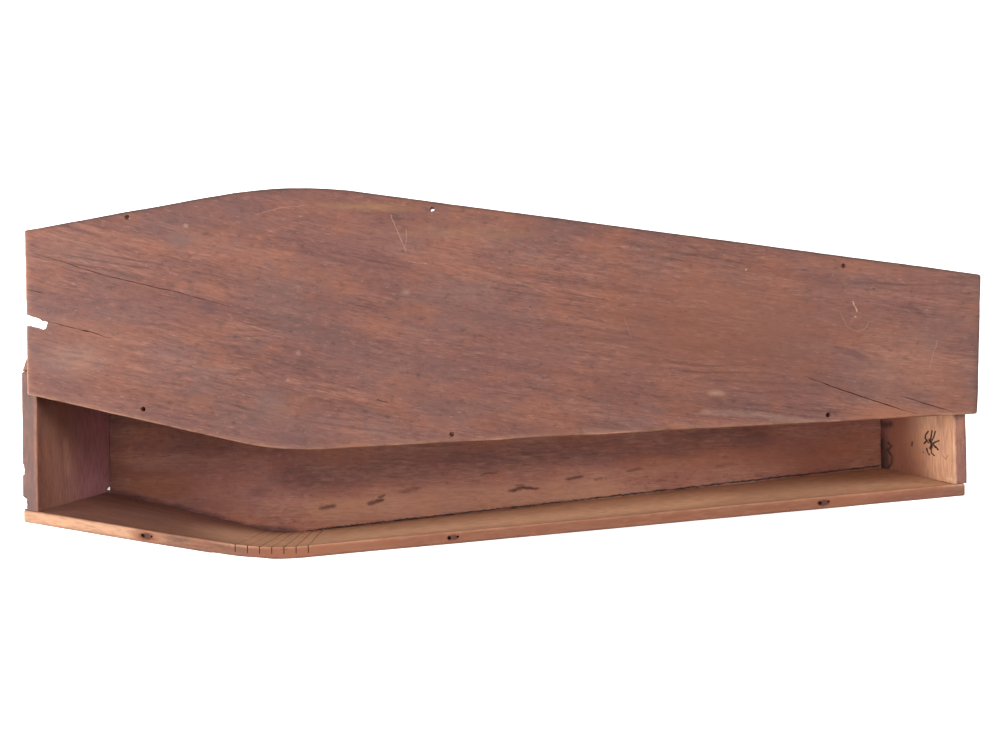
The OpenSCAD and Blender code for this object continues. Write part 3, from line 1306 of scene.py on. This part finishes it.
@dataclass
class BottomBoard(Board):
    """The bottom, between the sides and the ends.

    s runs along the box from the head end, w across it from the middle to the far side, and h
    up from the underside.
    """

    clipped: Point2 = (0.0044, 0.0042)

    def __post_init__(self) -> None:
        """Takes the board's ends and thickness from its CAD node."""
        low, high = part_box(self.node)
        self.start = low.x - self.box.head_x
        self.end = high.x - self.box.head_x
        self.thickness = high.z

    def _sides(self, s: Array, h: Array) -> tuple[Array, Array]:
        """Y of the near and far edges.

        Args:
            s: Distances from the box's head end.
            h: Heights.

        Returns:
            Y at each place, at the near edge and at the far edge.
        """
        box = self.box
        near = box.wall(s, h, box.side_thickness + box.bottom_gap, True)
        return near, box.wall(s, h, box.side_thickness + box.joint_gap, False)

    def shaped(self) -> Shape:
        """Works out the board, as wide as the room between the sides.

        Returns:
            Its skin, its points and their distances to the faces.
        """
        along = Lines.even(self.end - self.start, self.step)
        across = Lines.even(2 * self.box.floor_half, self.step)
        through = Lines.even(self.thickness, 0.003)
        skin = Skin.of(len(along.share), len(across.share), len(through.share))
        s = self.start + along.at(skin.i, self.end - self.start)
        h = through.at(skin.k, self.thickness)
        low, high = self._sides(s, h)
        w = low + across.at(skin.j, high - low)
        board = np.stack([s, w, h], 1)
        reach = [(s - self.start, self.end - s), (w - low, high - w), (h, self.thickness - h)]
        return skin, board, reach

    def aged(self, board: Array, reach: Reach) -> Array:
        """Lets the upper face wave, in long waves along the grain."""
        rise = self.wave * ripple(board * [0.25, 1, 1], 0.06, self.seed + 3)
        return raised(board, rise * smooth(board[:, 2], 0.004, 0.012))

    def placed(self, board: Array) -> Array:
        """Lays the board in the box."""
        return board + [self.box.head_x, 0, 0]

    def unplaced(self, points: Array) -> Array:
        """Board coordinates of points in the box."""
        return points - [self.box.head_x, 0, 0]

    def span(self, board: Array) -> Reach:
        """Ends of the board at each point."""
        s, _, h = board.T
        return [(self.start, self.end), self._sides(s, h), (0, self.thickness)]

    def cutters(self) -> Iterable[Cutter]:
        """Corner broken off at the head end.

        Yields:
            The cutter.
        """
        near = float(self._sides(np.array([self.start]), np.array([0.0]))[0][0])
        reach = *self.clipped, self.thickness * 4
        yield bite((self.start - 0.001, near - 0.001, self.thickness / 2), reach, 3)


@dataclass
class Lid(Board):
    """The lid: one wide board cut to the coffin's outline, lying askew.

    s runs along it from the head end, w across it from its middle to the far side, and h up
    from its underside.
    """

    wave: float = 0.00034
    more_length: float = 0.003
    more_head: float = -0.0006
    more_foot: float = 0.0032
    bend_at: float = 0.328
    near_half: float = 0.1675
    far_half: float = 0.1758
    near_radius: float = 0.400
    far_radius: float = 0.564
    skew: float = 0.006
    shift: Point2 = (0.0138, 0.1365)
    turn: float = -2.7
    near_holes: tuple[Point2, ...] = ((0.153, 0.0145), (0.546, 0.0105), (1.026, 0.0088))
    far_holes: tuple[Point2, ...] = ((0.124, 0.0075), (0.511, 0.0102), (1.039, 0.0128))
    notch: Point3 = (0.028, -0.011, 0.0114)
    notch_turn: float = -15.5
    hole_radius: float = 0.0025
    hole_flare: float = 0.0008
    crack_depth: float = 0.008
    cracks: tuple[tuple[float, tuple[Point2, ...]], ...] = ()

    def __post_init__(self) -> None:
        """Takes the lid's height from its CAD node and works out its edges."""
        low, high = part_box(self.node)
        self.seat = low.z
        self.thickness = high.z - low.z
        self.length = self.box.length + self.more_length
        self.head_half = (self.box.head_width + self.more_head) / 2
        foot_half = (self.box.foot_width + self.more_foot) / 2
        ends = self.length, self.head_half, foot_half, self.bend_at
        self.near_edge = BentEdge(*ends, self.near_half, self.near_radius)
        self.far_edge = BentEdge(*ends, self.far_half, self.far_radius)

    def shaped(self) -> Shape:
        """Works out the lid, its head end off square.

        The off-square end moves a line along the lid, which changes its width there, so the two
        are worked out in turn until they agree.

        Returns:
            Its skin, its points and their distances to the faces.
        """
        along = Lines.even(self.length, self.step)
        across = Lines.even(self.near_half + self.far_half, self.step)
        through = Lines.even(self.thickness, 0.003)
        skin = Skin.of(len(along.share), len(across.share), len(through.share))
        even = along.at(skin.i, self.length)
        h = through.at(skin.k, self.thickness)
        s = even
        for _ in range(3):
            low, high = -self.near_edge.half_width(s), self.far_edge.half_width(s)
            w = low + across.at(skin.j, high - low)
            s = even + self._head_end(w) * (1 - even / self.length)
        board = np.stack([s, w, h], 1)
        start = self._head_end(w)
        reach = [(s - start, self.length - s), (w - low, high - w), (h, self.thickness - h)]
        return skin, board, reach

    def _head_end(self, w: Array) -> Array:
        """Distance along the lid of its off-square head end."""
        return -self.skew * w / self.head_half

    def blunt(self, board: Array) -> Array:
        """More rounding along the upper arrises, most at the near corner of the foot end.

        Args:
            board: Points in board space.

        Returns:
            Extra radius at each point.
        """
        s, w, h = board.T
        corner = np.exp(-np.hypot(self.length - s, w + self.near_edge.foot_half) / 0.012)
        top = smooth(h, 0.4 * self.thickness, 0.8 * self.thickness)
        return top * (0.0008 + 0.0005 * ripple(board, 0.03, self.seed + 5)) + 0.0022 * corner

    def aged(self, board: Array, reach: Reach) -> Array:
        """Lets the upper face wave, in long waves along the grain."""
        rise = self.wave * ripple(board * [0.22, 1, 1], 0.05, self.seed + 3)
        return raised(board, rise * smooth(board[:, 2], 0.5 * self.thickness, self.thickness))

    def placed(self, board: Array) -> Array:
        """Lays the lid askew on the rim.

        Args:
            board: Points in board space.

        Returns:
            The points, turned about the lid's middle and moved to its place.
        """
        turn = math.radians(self.turn)
        s, w = board[:, 0] - self.length / 2, board[:, 1]
        x = self.shift[0] + s * math.cos(turn) - w * math.sin(turn)
        y = self.shift[1] + s * math.sin(turn) + w * math.cos(turn)
        return np.stack([x, y, self.seat + board[:, 2]], 1)

    def unplaced(self, points: Array) -> Array:
        """Turns points on the lid back.

        Args:
            points: Places of the points.

        Returns:
            The points in board space.
        """
        turn = math.radians(self.turn)
        x, y = points[:, 0] - self.shift[0], points[:, 1] - self.shift[1]
        s = self.length / 2 + x * math.cos(turn) + y * math.sin(turn)
        w = y * math.cos(turn) - x * math.sin(turn)
        return np.stack([s, w, points[:, 2] - self.seat], 1)

    def span(self, board: Array) -> Reach:
        """Ends of the lid.

        Args:
            board: Points in board space.

        Returns:
            Low and high end along each axis, at each point.
        """
        s, w, _ = board.T
        edges = -self.near_edge.half_width(s), self.far_edge.half_width(s)
        return [(self._head_end(w), self.length), edges, (0, self.thickness)]

    def cutters(self) -> Iterable[Cutter]:
        """Screw holes, the split-out notch in the head end, and cracks.

        Yields:
            The cutters.
        """
        sides = ((self.near_holes, -1, self.near_edge), (self.far_holes, 1, self.far_edge))
        for holes, side, edge in sides:
            for number, (at, inset) in enumerate(holes):
                w = side * (float(edge.half_width(np.array(at))) - inset)
                mouth = (at, w, self.thickness)
                deep = self.thickness + 0.001
                yield hole(mouth, self.hole_radius, deep, self.hole_flare, 2, 70 + side + number)
        yield self._notch()
        for number, (width, path) in enumerate(self.cracks):
            yield split(path, width * MM, self.thickness, self.crack_depth, 90 + 2 * number)

    def _notch(self) -> Cutter:
        """Notch that splits out along the grain: a block whose sides waver, clipped at one corner.

        Returns:
            The cutter.
        """
        deep, middle, wide = self.notch
        outside, over, clip = 0.012, 0.001, 0.003
        count, levels = 12, 5
        skin = Skin.of(count, 2, levels)
        along = np.linspace(-outside, deep, count)
        waver = 0.0005 * ripple(np.column_stack([along, 0 * along]), 0.011, 31)
        flare = 0.0008 * (1 - along / deep)
        far = wide / 2 + flare + waver
        near = -wide / 2 - flare + waver
        near[-1] += clip
        u, v = along[skin.i], np.where(skin.j == 1, far[skin.i], near[skin.i])
        turn = math.radians(self.notch_turn)
        s = u * math.cos(turn) - v * math.sin(turn)
        w = middle + u * math.sin(turn) + v * math.cos(turn)
        h = -over + skin.k / (levels - 1) * (self.thickness + 2 * over)
        ragged = 0.0004 * ripple(np.stack([s, w, h], 1), 0.006, 33)
        return skin, np.stack([s + ragged, w + ragged, h], 1)


# ---------------------------------------------------------------- marks of use


def on_top(points: Sequence[Point2], height: float) -> tuple[Point3, ...]:
    """Path of (s, w) points on a face at this height, in millimetres."""
    return tuple((s, w, height) for s, w in points)


def size_of(node: str, axis: int) -> float:
    """Size of a packed board along an axis of the box, in millimetres."""
    low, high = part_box(node)
    return (high[axis] - low[axis]) / MM


# Heights and reaches of the marked faces, in millimetres. The inner faces are a thickness up.
LID_TOP = size_of("lid", 2)
FLOOR_TOP = size_of("bottom_board", 2)
RIM = size_of("near_side", 2)
SIDE_LENGTH = size_of("near_side", 0)
SIDE_INNER = Box.side_thickness / MM
HEAD_INNER = size_of("head_board", 0)
FOOT_INNER = size_of("foot_board", 0)
END_REACH = 120


def lid_marks() -> tuple[Mark, ...]:
    """Scratches, spots and stains on the lid.

    Returns:
        The marks, the drawn ones before the dabs.
    """
    pale, cream, ink, plum = Tint.PALE, Tint.CREAM, Tint.INK, Tint.PLUM
    thin, fine = (0.9, 0.9, 3), (0.7, 0.7, 3)
    lines = [
        (pale, [(458, 139), (471, 112), (480, 91)], thin, 0.6),
        (pale, [(479, 121), (479, 101)], fine, 0.5),
        (pale, [(483, 80), (506, 78)], fine, 0.5),
        (pale, [(289, 134), (318, 143), (348, 147)], fine, 0.35),
        (cream, [(1053, 49), (1059, 36)], (1.3, 1.3, 3), 0.8),
        (cream, [(1057, 30)], (2, 2, 3), 0.8),
        (pale, [(1037, 34), (1048, 15), (1061, 10), (1071, 16), (1075, 25)], thin, 0.4),
        (pale, [(1163, 3), (1154, -33)], fine, 0.4),
        (pale, [(870, -99), (930, -99), (1000, -108)], (16, 6, 3), 0.28),
        (pale, [(620, 60), (668, 43)], fine, 0.3),
        (pale, [(760, 20), (771, -8)], fine, 0.3),
        (ink, [(450, -97), (462, -100)], (2, 1, 3), 0.8),
        (ink, [(1079, 66)], (2, 1.5, 3), 0.8),
        (ink, [(1208, -1)], (2, 2, 3), 0.7),
        (plum, [(1036, -12), (1053, -16), (1070, -23)], (10, 6, 3), 0.55),
        (plum, [(225, 13), (240, 11)], (9, 6, 3), 0.5),
        (ink, [(640, 28)], (1.6, 1.6, 3), 0.6),
    ]
    spots = [
        (Tint.GREY, (315, -108), (34, 36, 3), 0.5),
        (Tint.GREY, (193, 98), (36, 15, 3), 0.5),
        (Tint.GREY, (60, 80), (60, 24, 3), 0.3),
        (cream, (881, -74), (15, 6, 3), 0.45),
        (Tint.GOLD, (428, 148), (95, 9, 3), 0.65),
        (Tint.GOLD, (560, 120), (150, 12, 3), 0.35),
        (Tint.ORANGE, (197, 40), (15, 6, 3), 0.6),
        (Tint.ORANGE, (184, -80), (7, 6, 3), 0.5),
        (Tint.ORANGE, (23, 34), (6, 4, 3), 0.55),
        (Tint.ORANGE, (1110, -96), (80, 20, 3), 0.9),
        (Tint.ORANGE, (900, 10), (260, 110, 3), 0.42),
        (Tint.RUST, (880, 0), (280, 130, 3), 0.28),
        (Tint.TAN, (1130, -40), (110, 90, 3), 0.14),
        (pale, (199, 116), (5, 4, 3), 0.5),
        (pale, (347, -41), (6, 5, 3), 0.45),
        (pale, (335, -76), (5, 4, 3), 0.45),
        (pale, (481, 41), (10, 6, 3), 0.35),
        (cream, (915, 85), (2, 2, 3), 0.9),
        (plum, (620, -40), (170, 80, 3), 0.3),
        (pale, (60, -60), (70, 36, 3), 0.25),
    ]
    drawn = [Mark(t, on_top(path, LID_TOP), size, power, 0.3) for t, path, size, power in lines]
    dabs = [Mark(t, on_top([at], LID_TOP), size, power, 0.1) for t, at, size, power in spots]
    return tuple(drawn + dabs)


def floor_marks() -> tuple[Mark, ...]:
    """Stains on the bottom board, the dark joint along its near edge, painted shade under the lid's
    edge, along the near edge's bend and at the head end, and a band of painted light.

    Returns:
        The marks.
    """
    streaks = [
        ([(632, -100), (648, -95), (668, -97)], (11, 3.6, 3), 1.0),
        ([(640, -92), (650, -91)], (5, 2.2, 3), 0.7),
        ([(416, -116), (432, -111)], (9, 5, 3), 0.9),
        ([(430, -107), (437, -104)], (4, 3, 3), 0.8),
        ([(588, -75), (596, -72), (606, -73)], (7, 2.2, 3), 0.7),
        ([(466, -98), (486, -94)], (12, 4.5, 3), 0.6),
        ([(343, -122), (358, -119)], (10, 5, 3), 0.8),
        ([(720, -83), (736, -80)], (11, 3.4, 3), 0.8),
        ([(760, -84), (768, -83)], (5, 3, 3), 0.6),
        ([(812, -72), (828, -69)], (9, 3, 3), 0.6),
        ([(952, -67), (972, -64)], (12, 3, 3), 0.45),
    ]
    dabs = [Mark(Tint.RUST, on_top(path, FLOOR_TOP), size, power) for path, size, power in streaks]
    edge = [(318, -157.5), (350, -153), (1196, -70)]
    joint = Mark(Tint.INK, on_top(edge, FLOOR_TOP), (2.1, 2.1, 4), 1.2)
    # Painted shadow in the crease along the near edge's bend, at the head part.
    bend = [(20, -92), (150, -126), (230, -150), (300, -158)]
    soft = Mark(Tint.PLUM, on_top(bend, FLOOR_TOP), (9, 9, 4), 0.8)
    # Painted light: a paler band where the bottom is lit beyond the lid's shadow.
    glow = Mark(Tint.TAN, on_top([(360, -125), (760, -100)], FLOOR_TOP), (70, 30, 4), 0.6)
    rose = Mark(Tint.ROSE, on_top([(110, -50), (260, -90)], FLOOR_TOP), (90, 60, 4), 0.12)
    # Painted shadow of the lid along the far part of the bottom, beside the lid's near edge.
    gloom = Mark(Tint.PLUM, on_top([(300, -75), (1000, -20)], FLOOR_TOP), (60, 34, 4), 0.55)
    # Painted shade at the head end of the bottom, at the foot of the head board.
    dark = Mark(Tint.PLUM, on_top([(0, -90), (0, 60)], FLOOR_TOP), (60, 50, 4), 0.6)
    ruddy = Mark(Tint.PLUM, on_top([(248, -96), (256, -92)], FLOOR_TOP), (26, 14, 4), 0.45, 0)
    warm = [
        Mark(Tint.ORANGE, on_top([(30, -66), (120, -84)], FLOOR_TOP), (50, 34, 4), 0.5),
        Mark(Tint.ORANGE, on_top([(900, -60), (1150, -50)], FLOOR_TOP), (160, 40, 4), 0.45),
    ]
    return (*dabs, glow, rose, gloom, dark, ruddy, soft, joint, *warm)


def inner_marks() -> tuple[Mark, ...]:
    """Paler wood on the inner face of a side, past the shoulder, brightened with painted light, and
    its weathered outer face.

    Returns:
        The marks.
    """
    inner = SIDE_INNER
    return (
        # Paler wood, brightened further with painted light that falls into the box beside the lid.
        Mark(Tint.LIGHT_TAN, ((340, 130, inner), (840, 120, inner)), (190, 150, 6), 1.0, 0.4),
        Mark(Tint.LIGHT_TAN, ((340, 130, inner), (1190, 120, inner)), (180, 150, 6), 0.72, 0.5),
        *weathered(SIDE_LENGTH),
    )


def weathered(length: float) -> tuple[Mark, ...]:
    """Darker skin on the outer face of a board, as on the lid, and a darker lower edge.

    Args:
        length: Reach of the face on each side of the board's origin, in millimetres.

    Returns:
        The marks.
    """
    skin = Mark(Tint.PLUM, ((-length, 100, -2), (length, 100, -2)), (100, 240, 8), 0.6, 0.5)
    foot = Mark(Tint.INK, ((-length, 0, -2), (length, 0, -2)), (50, 26, 8), 0.5)
    return skin, foot


def rim_marks(holes: Sequence[float]) -> tuple[Mark, ...]:
    """Marks of the near side: rust round its screw holes, a pale head end, ticks in its rim.

    Args:
        holes: Screw places along the rim, in metres.

    Returns:
        The marks, with those of its two faces.
    """
    middle = 8
    stains = []
    for at in holes:
        for reach, tint, power in ((18, Tint.ORANGE, 1.3), (8, Tint.RUST, 1.5)):
            place = ((at / MM + 4, RIM, middle),)
            stains.append(Mark(tint, place, (reach * 1.5, 12, reach * 0.8), power))
    fade = Mark(Tint.LIGHT_TAN, ((20, RIM, middle), (120, RIM, middle)), (80, 8, 14), 0.62, 0.4)
    rosy = Mark(Tint.ROSE, ((10, 110, 16), (230, 110, 16)), (110, 170, 6), 0.1, 0.3)
    browned = Mark(Tint.ORANGE, ((330, RIM, middle), (1160, RIM, middle)), (60, 6, 16), 0.9, 0.4)
    darker = Mark(Tint.RUST, ((600, RIM, middle), (900, RIM, middle)), (200, 6, 20), 0.3, 0.4)
    ticks = [
        Mark(Tint.INK, ((at, RIM, 1), (at + 1, RIM - 30, 0)), (0.8, 0.8, 2), 0.6)
        for at in (404, 409)
    ]
    step = Mark(Tint.INK, ((330, RIM, 13), (337, RIM, 12)), (2, 3, 1.2), 0.6)
    dusk = Mark(Tint.PLUM, ((1140, RIM, 0), (1215, RIM, 0)), (90, 6, 18), 0.4)
    return (*inner_marks(), fade, *stains, rosy, browned, darker, dusk, *ticks, step)


def head_marks() -> tuple[Mark, ...]:
    """Pale streak and rosy lower part inside the head board, the lower part also lifted with painted
    light, and its greyed upper edge.

    Returns:
        The marks.
    """
    inner = HEAD_INNER
    return (
        Mark(Tint.LIGHT_TAN, ((-10, 152, inner), (-45, 144, inner)), (16, 14, 5), 0.4),
        # Rosy tint, and painted light that lifts the shade of the lower inner face.
        Mark(Tint.ROSE, ((-70, 10, inner), (70, 10, inner)), (60, 210, 6), 1.0, 0.1),
        Mark(Tint.TAN, ((-70, 165, inner), (70, 165, inner)), (60, 80, 6), 0.32, 0.3),
        *weathered(END_REACH),
        Mark(Tint.GREY, ((-90, RIM, 6), (95, RIM, 6)), (20, 5, 12), 0.9, 0.6),
        Mark(Tint.RUST, ((-90, RIM, 8), (95, RIM, 8)), (20, 5, 14), 0.14, 0.4),
    )


def foot_marks() -> tuple[Mark, ...]:
    """Ink-dark marks in the wood inside the foot board, painted light on its upper part and painted
    shade on its lower part.

    Returns:
        The marks.
    """
    inner = FOOT_INNER
    legs = [
        [(-7, 173), (-12, 171), (-20, 169)],
        [(-7, 181), (-14, 178), (-20, 173)],
        [(-8, 162), (-13, 155), (-19, 154), (-24, 162)],
        [(-26, 150), (-22, 157)],
        [(-32, 157), (-38, 160), (-40, 164)],
        [(-32, 169), (-38, 171), (-40, 178)],
        [(-19, 191), (-21, 182), (-24, 175)],
        [(-31, 188), (-28, 180), (-25, 175)],
        [(-38, 147)],
    ]
    drawn = [Mark(Tint.INK, on_top(leg, inner), (1.4, 2.8, 4), 1.4, 0.4) for leg in legs]
    body = Mark(Tint.INK, on_top([(-20, 166), (-26, 172), (-31, 168)], inner), (3.4, 7, 4), 1.3, 0.1)
    curl = [(-33, 37), (-37, 48), (-44, 34), (-52, 49), (-63, 48), (-71, 34)]
    smear = [(-1, 2), (-7, 22), (-4, 46)]
    corner = [(-32, 16), (-74, 22)]
    return (
        # Painted light on the upper inner face, where light falls over the near rim.
        Mark(Tint.LIGHT_TAN, ((-20, 190, inner), (-50, 225, inner)), (80, 120, 5), 0.62, 0.35),
        Mark(Tint.ORANGE, ((-20, 80, inner), (-50, 110, inner)), (80, 80, 5), 0.6),
        # Painted shade along the lower inner face and its corner with the bottom, where the near
        # side casts shadow.
        Mark(Tint.RUST, ((-75, 0, inner), (75, 0, inner)), (20, 50, 5), 0.7, 0.1),
        Mark(Tint.PLUM, ((-70, 12, inner), (-30, 12, inner)), (20, 34, 5), 1.0, 0.2),
        *weathered(END_REACH),
        Mark(Tint.CREAM, on_top([(-67, 210), (-68, 228)], inner), (3, 5, 6), 0.7),
        *drawn,
        body,
        Mark(Tint.INK, on_top([(-26, 115), (-31, 113)], inner), (2, 4, 4), 0.9, 0.3),
        Mark(Tint.INK, on_top(curl, inner), (3, 6, 4), 1.0, 0.2),
        Mark(Tint.INK, on_top(smear, inner), (8, 13, 4), 1.1, 0),
        Mark(Tint.INK, on_top(corner, inner), (7, 10, 4), 0.9, 0.1),
        Mark(Tint.INK, on_top([(-46, 26), (-66, 30)], inner), (12, 15, 4), 0.5, 0),
        Mark(Tint.INK, on_top([(-38, 200), (-42, 208), (-37, 214)], inner), (1.2, 2, 4), 0.5),
        Mark(Tint.TAN, ((-70, RIM, 8), (70, RIM, 8)), (30, 5, 9), 0.12),
        # Painted shade on the outer top arris, which faces away from the light.
        Mark(Tint.INK, ((-70, RIM, -0.5), (70, RIM, -0.5)), (30, 6, 2.5), 0.8),
    )


# Width of each crack and its path, in millimetres.
LID_CRACKS = (
    (0.9, ((4, 75), (46, 64), (90, 51), (129, 43), (190, 31), (242, 19), (270, 12))),
    (0.8, ((0, 28), (23, 23))),
    (1.2, ((29, -12), (79, -23), (112, -31))),
    (1.3, ((992, -48), (1040, -64), (1076, -75), (1141, -93))),
    (1.0, ((1115, -69), (1155, -80), (1189, -89))),
)


# ---------------------------------------------------------------- studio


@dataclass(frozen=True)
class Lamp:
    """A round soft lamp that faces the middle of the floor."""

    name: str
    at: Point3
    size: float
    power: float

    def build(self) -> None:
        """Makes the lamp."""
        lamp = bpy.data.lights.new(self.name, "AREA")
        lamp.energy = self.power
        lamp.shape = "DISK"
        lamp.size = self.size
        x, y, z = self.at
        hung = bpy.data.objects.new(self.name, lamp)
        hung.location = self.at
        hung.rotation_euler = (0, math.atan2(math.hypot(x, y), z), math.atan2(y, x))
        bpy.context.scene.collection.objects.link(hung)


@dataclass
class Studio:
    """Plain pale floor, soft light and the camera."""

    floor_size: float = 40.0
    floor_depth: float = 0.02
    floor_tone: float = 0.92
    floor_glow: float = 0.7
    camera_at: Point3 = (-0.00444, 0.0708, 1.38906)
    camera_turn: Point3 = (0.0049, -0.00949, -0.0134)
    lens: float = 32.4
    world: float = 0.1
    lamps: tuple[Lamp, ...] = (
        Lamp("over", (0.0, 0.1, 1.9), 1.0, 11.5),
        Lamp("left", (-1.9, 0.2, 1.4), 1.0, 13.0),
        Lamp("left_far", (-1.3, 1.1, 1.7), 1.0, 17.0),
        Lamp("low_left", (-2.2, -0.3, 0.7), 0.8, 54.0),
        Lamp("right", (1.7, 0.6, 1.6), 1.0, 26.0),
        Lamp("far", (0.0, 1.3, 1.7), 1.0, 9.0),
    )

    def build(self) -> None:
        """Makes the floor, the lights and the camera."""
        self._floor()
        self._light()
        self._camera()
        bpy.context.scene.view_settings.view_transform = "Standard"
        log.info("studio ready")

    def _floor(self) -> None:
        """White floor that glows a little, like a light table."""
        half = self.floor_size / 2
        floor = Skin.of(3, 3, 2)
        level = (floor.k - 1) * self.floor_depth
        points = np.stack([(floor.i - 1) * half, (floor.j - 1) * half, level], 1)
        piece = floor.mesh("floor", points)
        tree = Tree("pale_floor")
        inputs = {
            "Base Color": (*[self.floor_tone] * 3, 1),
            "Roughness": 0.9,
            "Emission Color": (1, 1, 1, 1),
            "Emission Strength": self.floor_glow,
        }
        tree.output(tree.node("ShaderNodeBsdfPrincipled", {}, inputs).outputs[0])
        piece.data.materials.append(tree.material)

    def _light(self) -> None:
        """Faint even surroundings and the lamps."""
        world = bpy.data.worlds.new("surroundings")
        world.use_nodes = True
        background = world.node_tree.nodes["Background"]
        background.inputs["Color"].default_value = (1, 1, 1, 1)
        background.inputs["Strength"].default_value = self.world
        bpy.context.scene.world = world
        for lamp in self.lamps:
            lamp.build()

    def _camera(self) -> None:
        """Camera above the box, looking almost straight down."""
        data = bpy.data.cameras.new("camera")
        data.lens = self.lens
        camera = bpy.data.objects.new("camera", data)
        camera.location = self.camera_at
        camera.rotation_euler = self.camera_turn
        bpy.context.scene.collection.objects.link(camera)
        bpy.context.scene.camera = camera


# ---------------------------------------------------------------- the coffin


def finishes(rim_holes: Sequence[float]) -> dict[str, Wood]:
    """The finish of each board.

    Args:
        rim_holes: Screw places along the rim, for their stains.

    Returns:
        Finishes by the name of the board.
    """
    lid = Wood(
        name="lid_wood",
        tones=(srgb(84, 47, 39), srgb(114, 69, 57), srgb(143, 94, 76)),
        clouds=(
            (srgb(102, 73, 68), 0.5),
            (srgb(134, 76, 50), 0.42),
            (srgb(90, 54, 53), 0.42),
        ),
        grain_turn=-14.0,
        grain_bend=-0.0655,
        line_share=0.55,
        origin=(0.3, 0.11, 0.02),
        curl=((270, -20, 6), (190, 120, 40)),
        marks=lid_marks(),
    )
    side = dict(
        tones=(srgb(106, 66, 49), srgb(138, 93, 70), srgb(164, 119, 90)),
        clouds=((srgb(122, 88, 78), 0.4), (srgb(150, 94, 66), 0.4), (srgb(112, 70, 62), 0.35)),
    )
    end = dict(
        tones=(srgb(104, 62, 53), srgb(140, 92, 79), srgb(164, 114, 94)),
        clouds=((srgb(118, 82, 77), 0.5), (srgb(152, 92, 66), 0.4), (srgb(104, 60, 58), 0.5)),
    )
    floor = dict(
        tones=(srgb(120, 72, 60), srgb(158, 105, 88), srgb(184, 132, 108)),
        clouds=((srgb(136, 88, 78), 0.5), (srgb(172, 104, 76), 0.5), (srgb(128, 74, 66), 0.5)),
    )
    rows = (
        ("near_side", (5.2, 0.4, 0.1), rim_marks(rim_holes), side),
        ("far_side", (7.7, 1.3, 0.6), inner_marks(), side),
        ("head_board", (11.0, 2.0, 0.3), head_marks(), end),
        ("foot_board", (14.0, 3.0, 0.8), foot_marks(), end),
        ("bottom_board", (17.0, 4.0, 0.5), floor_marks(), floor),
    )
    woods = {"lid": lid}
    for name, origin, marks, look in rows:
        woods[name] = Wood(name=f"{name}_wood", origin=origin, marks=marks, **look)
    return woods


def boards() -> list[Board]:
    """The six boards of the coffin, in the order in which they are put together.

    The screw holes of each rim are as far along it as those of the lid's edge are.

    Returns:
        The boards, not yet made.
    """
    box = Box()
    near_holes, far_holes = (
        tuple(at for at, _ in holes) for holes in (Lid.near_holes, Lid.far_holes)
    )
    wood = finishes(near_holes)
    head, foot, low, high = Face.HEAD, Face.FOOT, Face.LOW, Face.HIGH
    outside, inside = Face.OUTSIDE, Face.INSIDE
    rim = {(high, inside): 0.3, (high, outside): 0.25, (head, high): 0.5, (head, outside): 0.3}
    darker_low_edges = {(low, outside): 0.3, (low, inside): 0.5}
    ends = {(high, inside): 0.45, (high, outside): 0.3}
    sides = dict(slot="side_wood", box=box, worn=rim, dark_edges_and_shade=darker_low_edges)
    end_boards = dict(slot="end_wood", box=box, worn=ends, dark_edges_and_shade=darker_low_edges, step=0.004)
    # Middle and half size of each chip, in board space.
    above = box.height + 0.0005
    head_inner = HEAD_INNER * MM
    chips = (
        ((-0.037, above, -0.0005), (0.008, 0.006, 0.0045)),
        ((-0.081, above, -0.001), (0.0105, 0.012, 0.0085)),
        ((-0.0888, 0.006, head_inner), (0.0034, 0.018, 0.012)),
    )
    return [
        BottomBoard("bottom_board", "bottom_wood", wood["bottom_board"], box=box, seed=11),
        SideBoard(
            "near_side", wood=wood["near_side"], near=True, holes=near_holes, seed=21,
            mirrored=True, **sides
        ),
        SideBoard("far_side", wood=wood["far_side"], near=False, holes=far_holes, seed=31, **sides),
        EndBoard("head_board", wood=wood["head_board"], chips=chips, seed=41, **end_boards),
        EndBoard(
            "foot_board", wood=wood["foot_board"], at_head=False, seed=51, mirrored=True,
            **end_boards
        ),
        Lid(
            "lid",
            "lid_wood",
            wood["lid"],
            easing=0.0013,
            seed=61,
            arris_paint_reach=0.0018,
            # Pale head and near top arrises are painted highlight; dark far and foot top arrises and
            # the lower near arris are painted shade.
            worn={(head, inside): 1.2, (low, inside): 1.0, (head, low): 0.5},
            dark_edges_and_shade={(high, inside): 1.5, (foot, inside): 1.7, (low, outside): 0.5},
            box=box,
            cracks=LID_CRACKS,
        ),
    ]


def main() -> None:
    """Builds the studio and the boards, in order."""
    logging.basicConfig(level=logging.INFO, format="%(name)s: %(message)s")
    Studio().build()
    for board in boards():
        board.build()


if __name__ == "__main__":
    main()
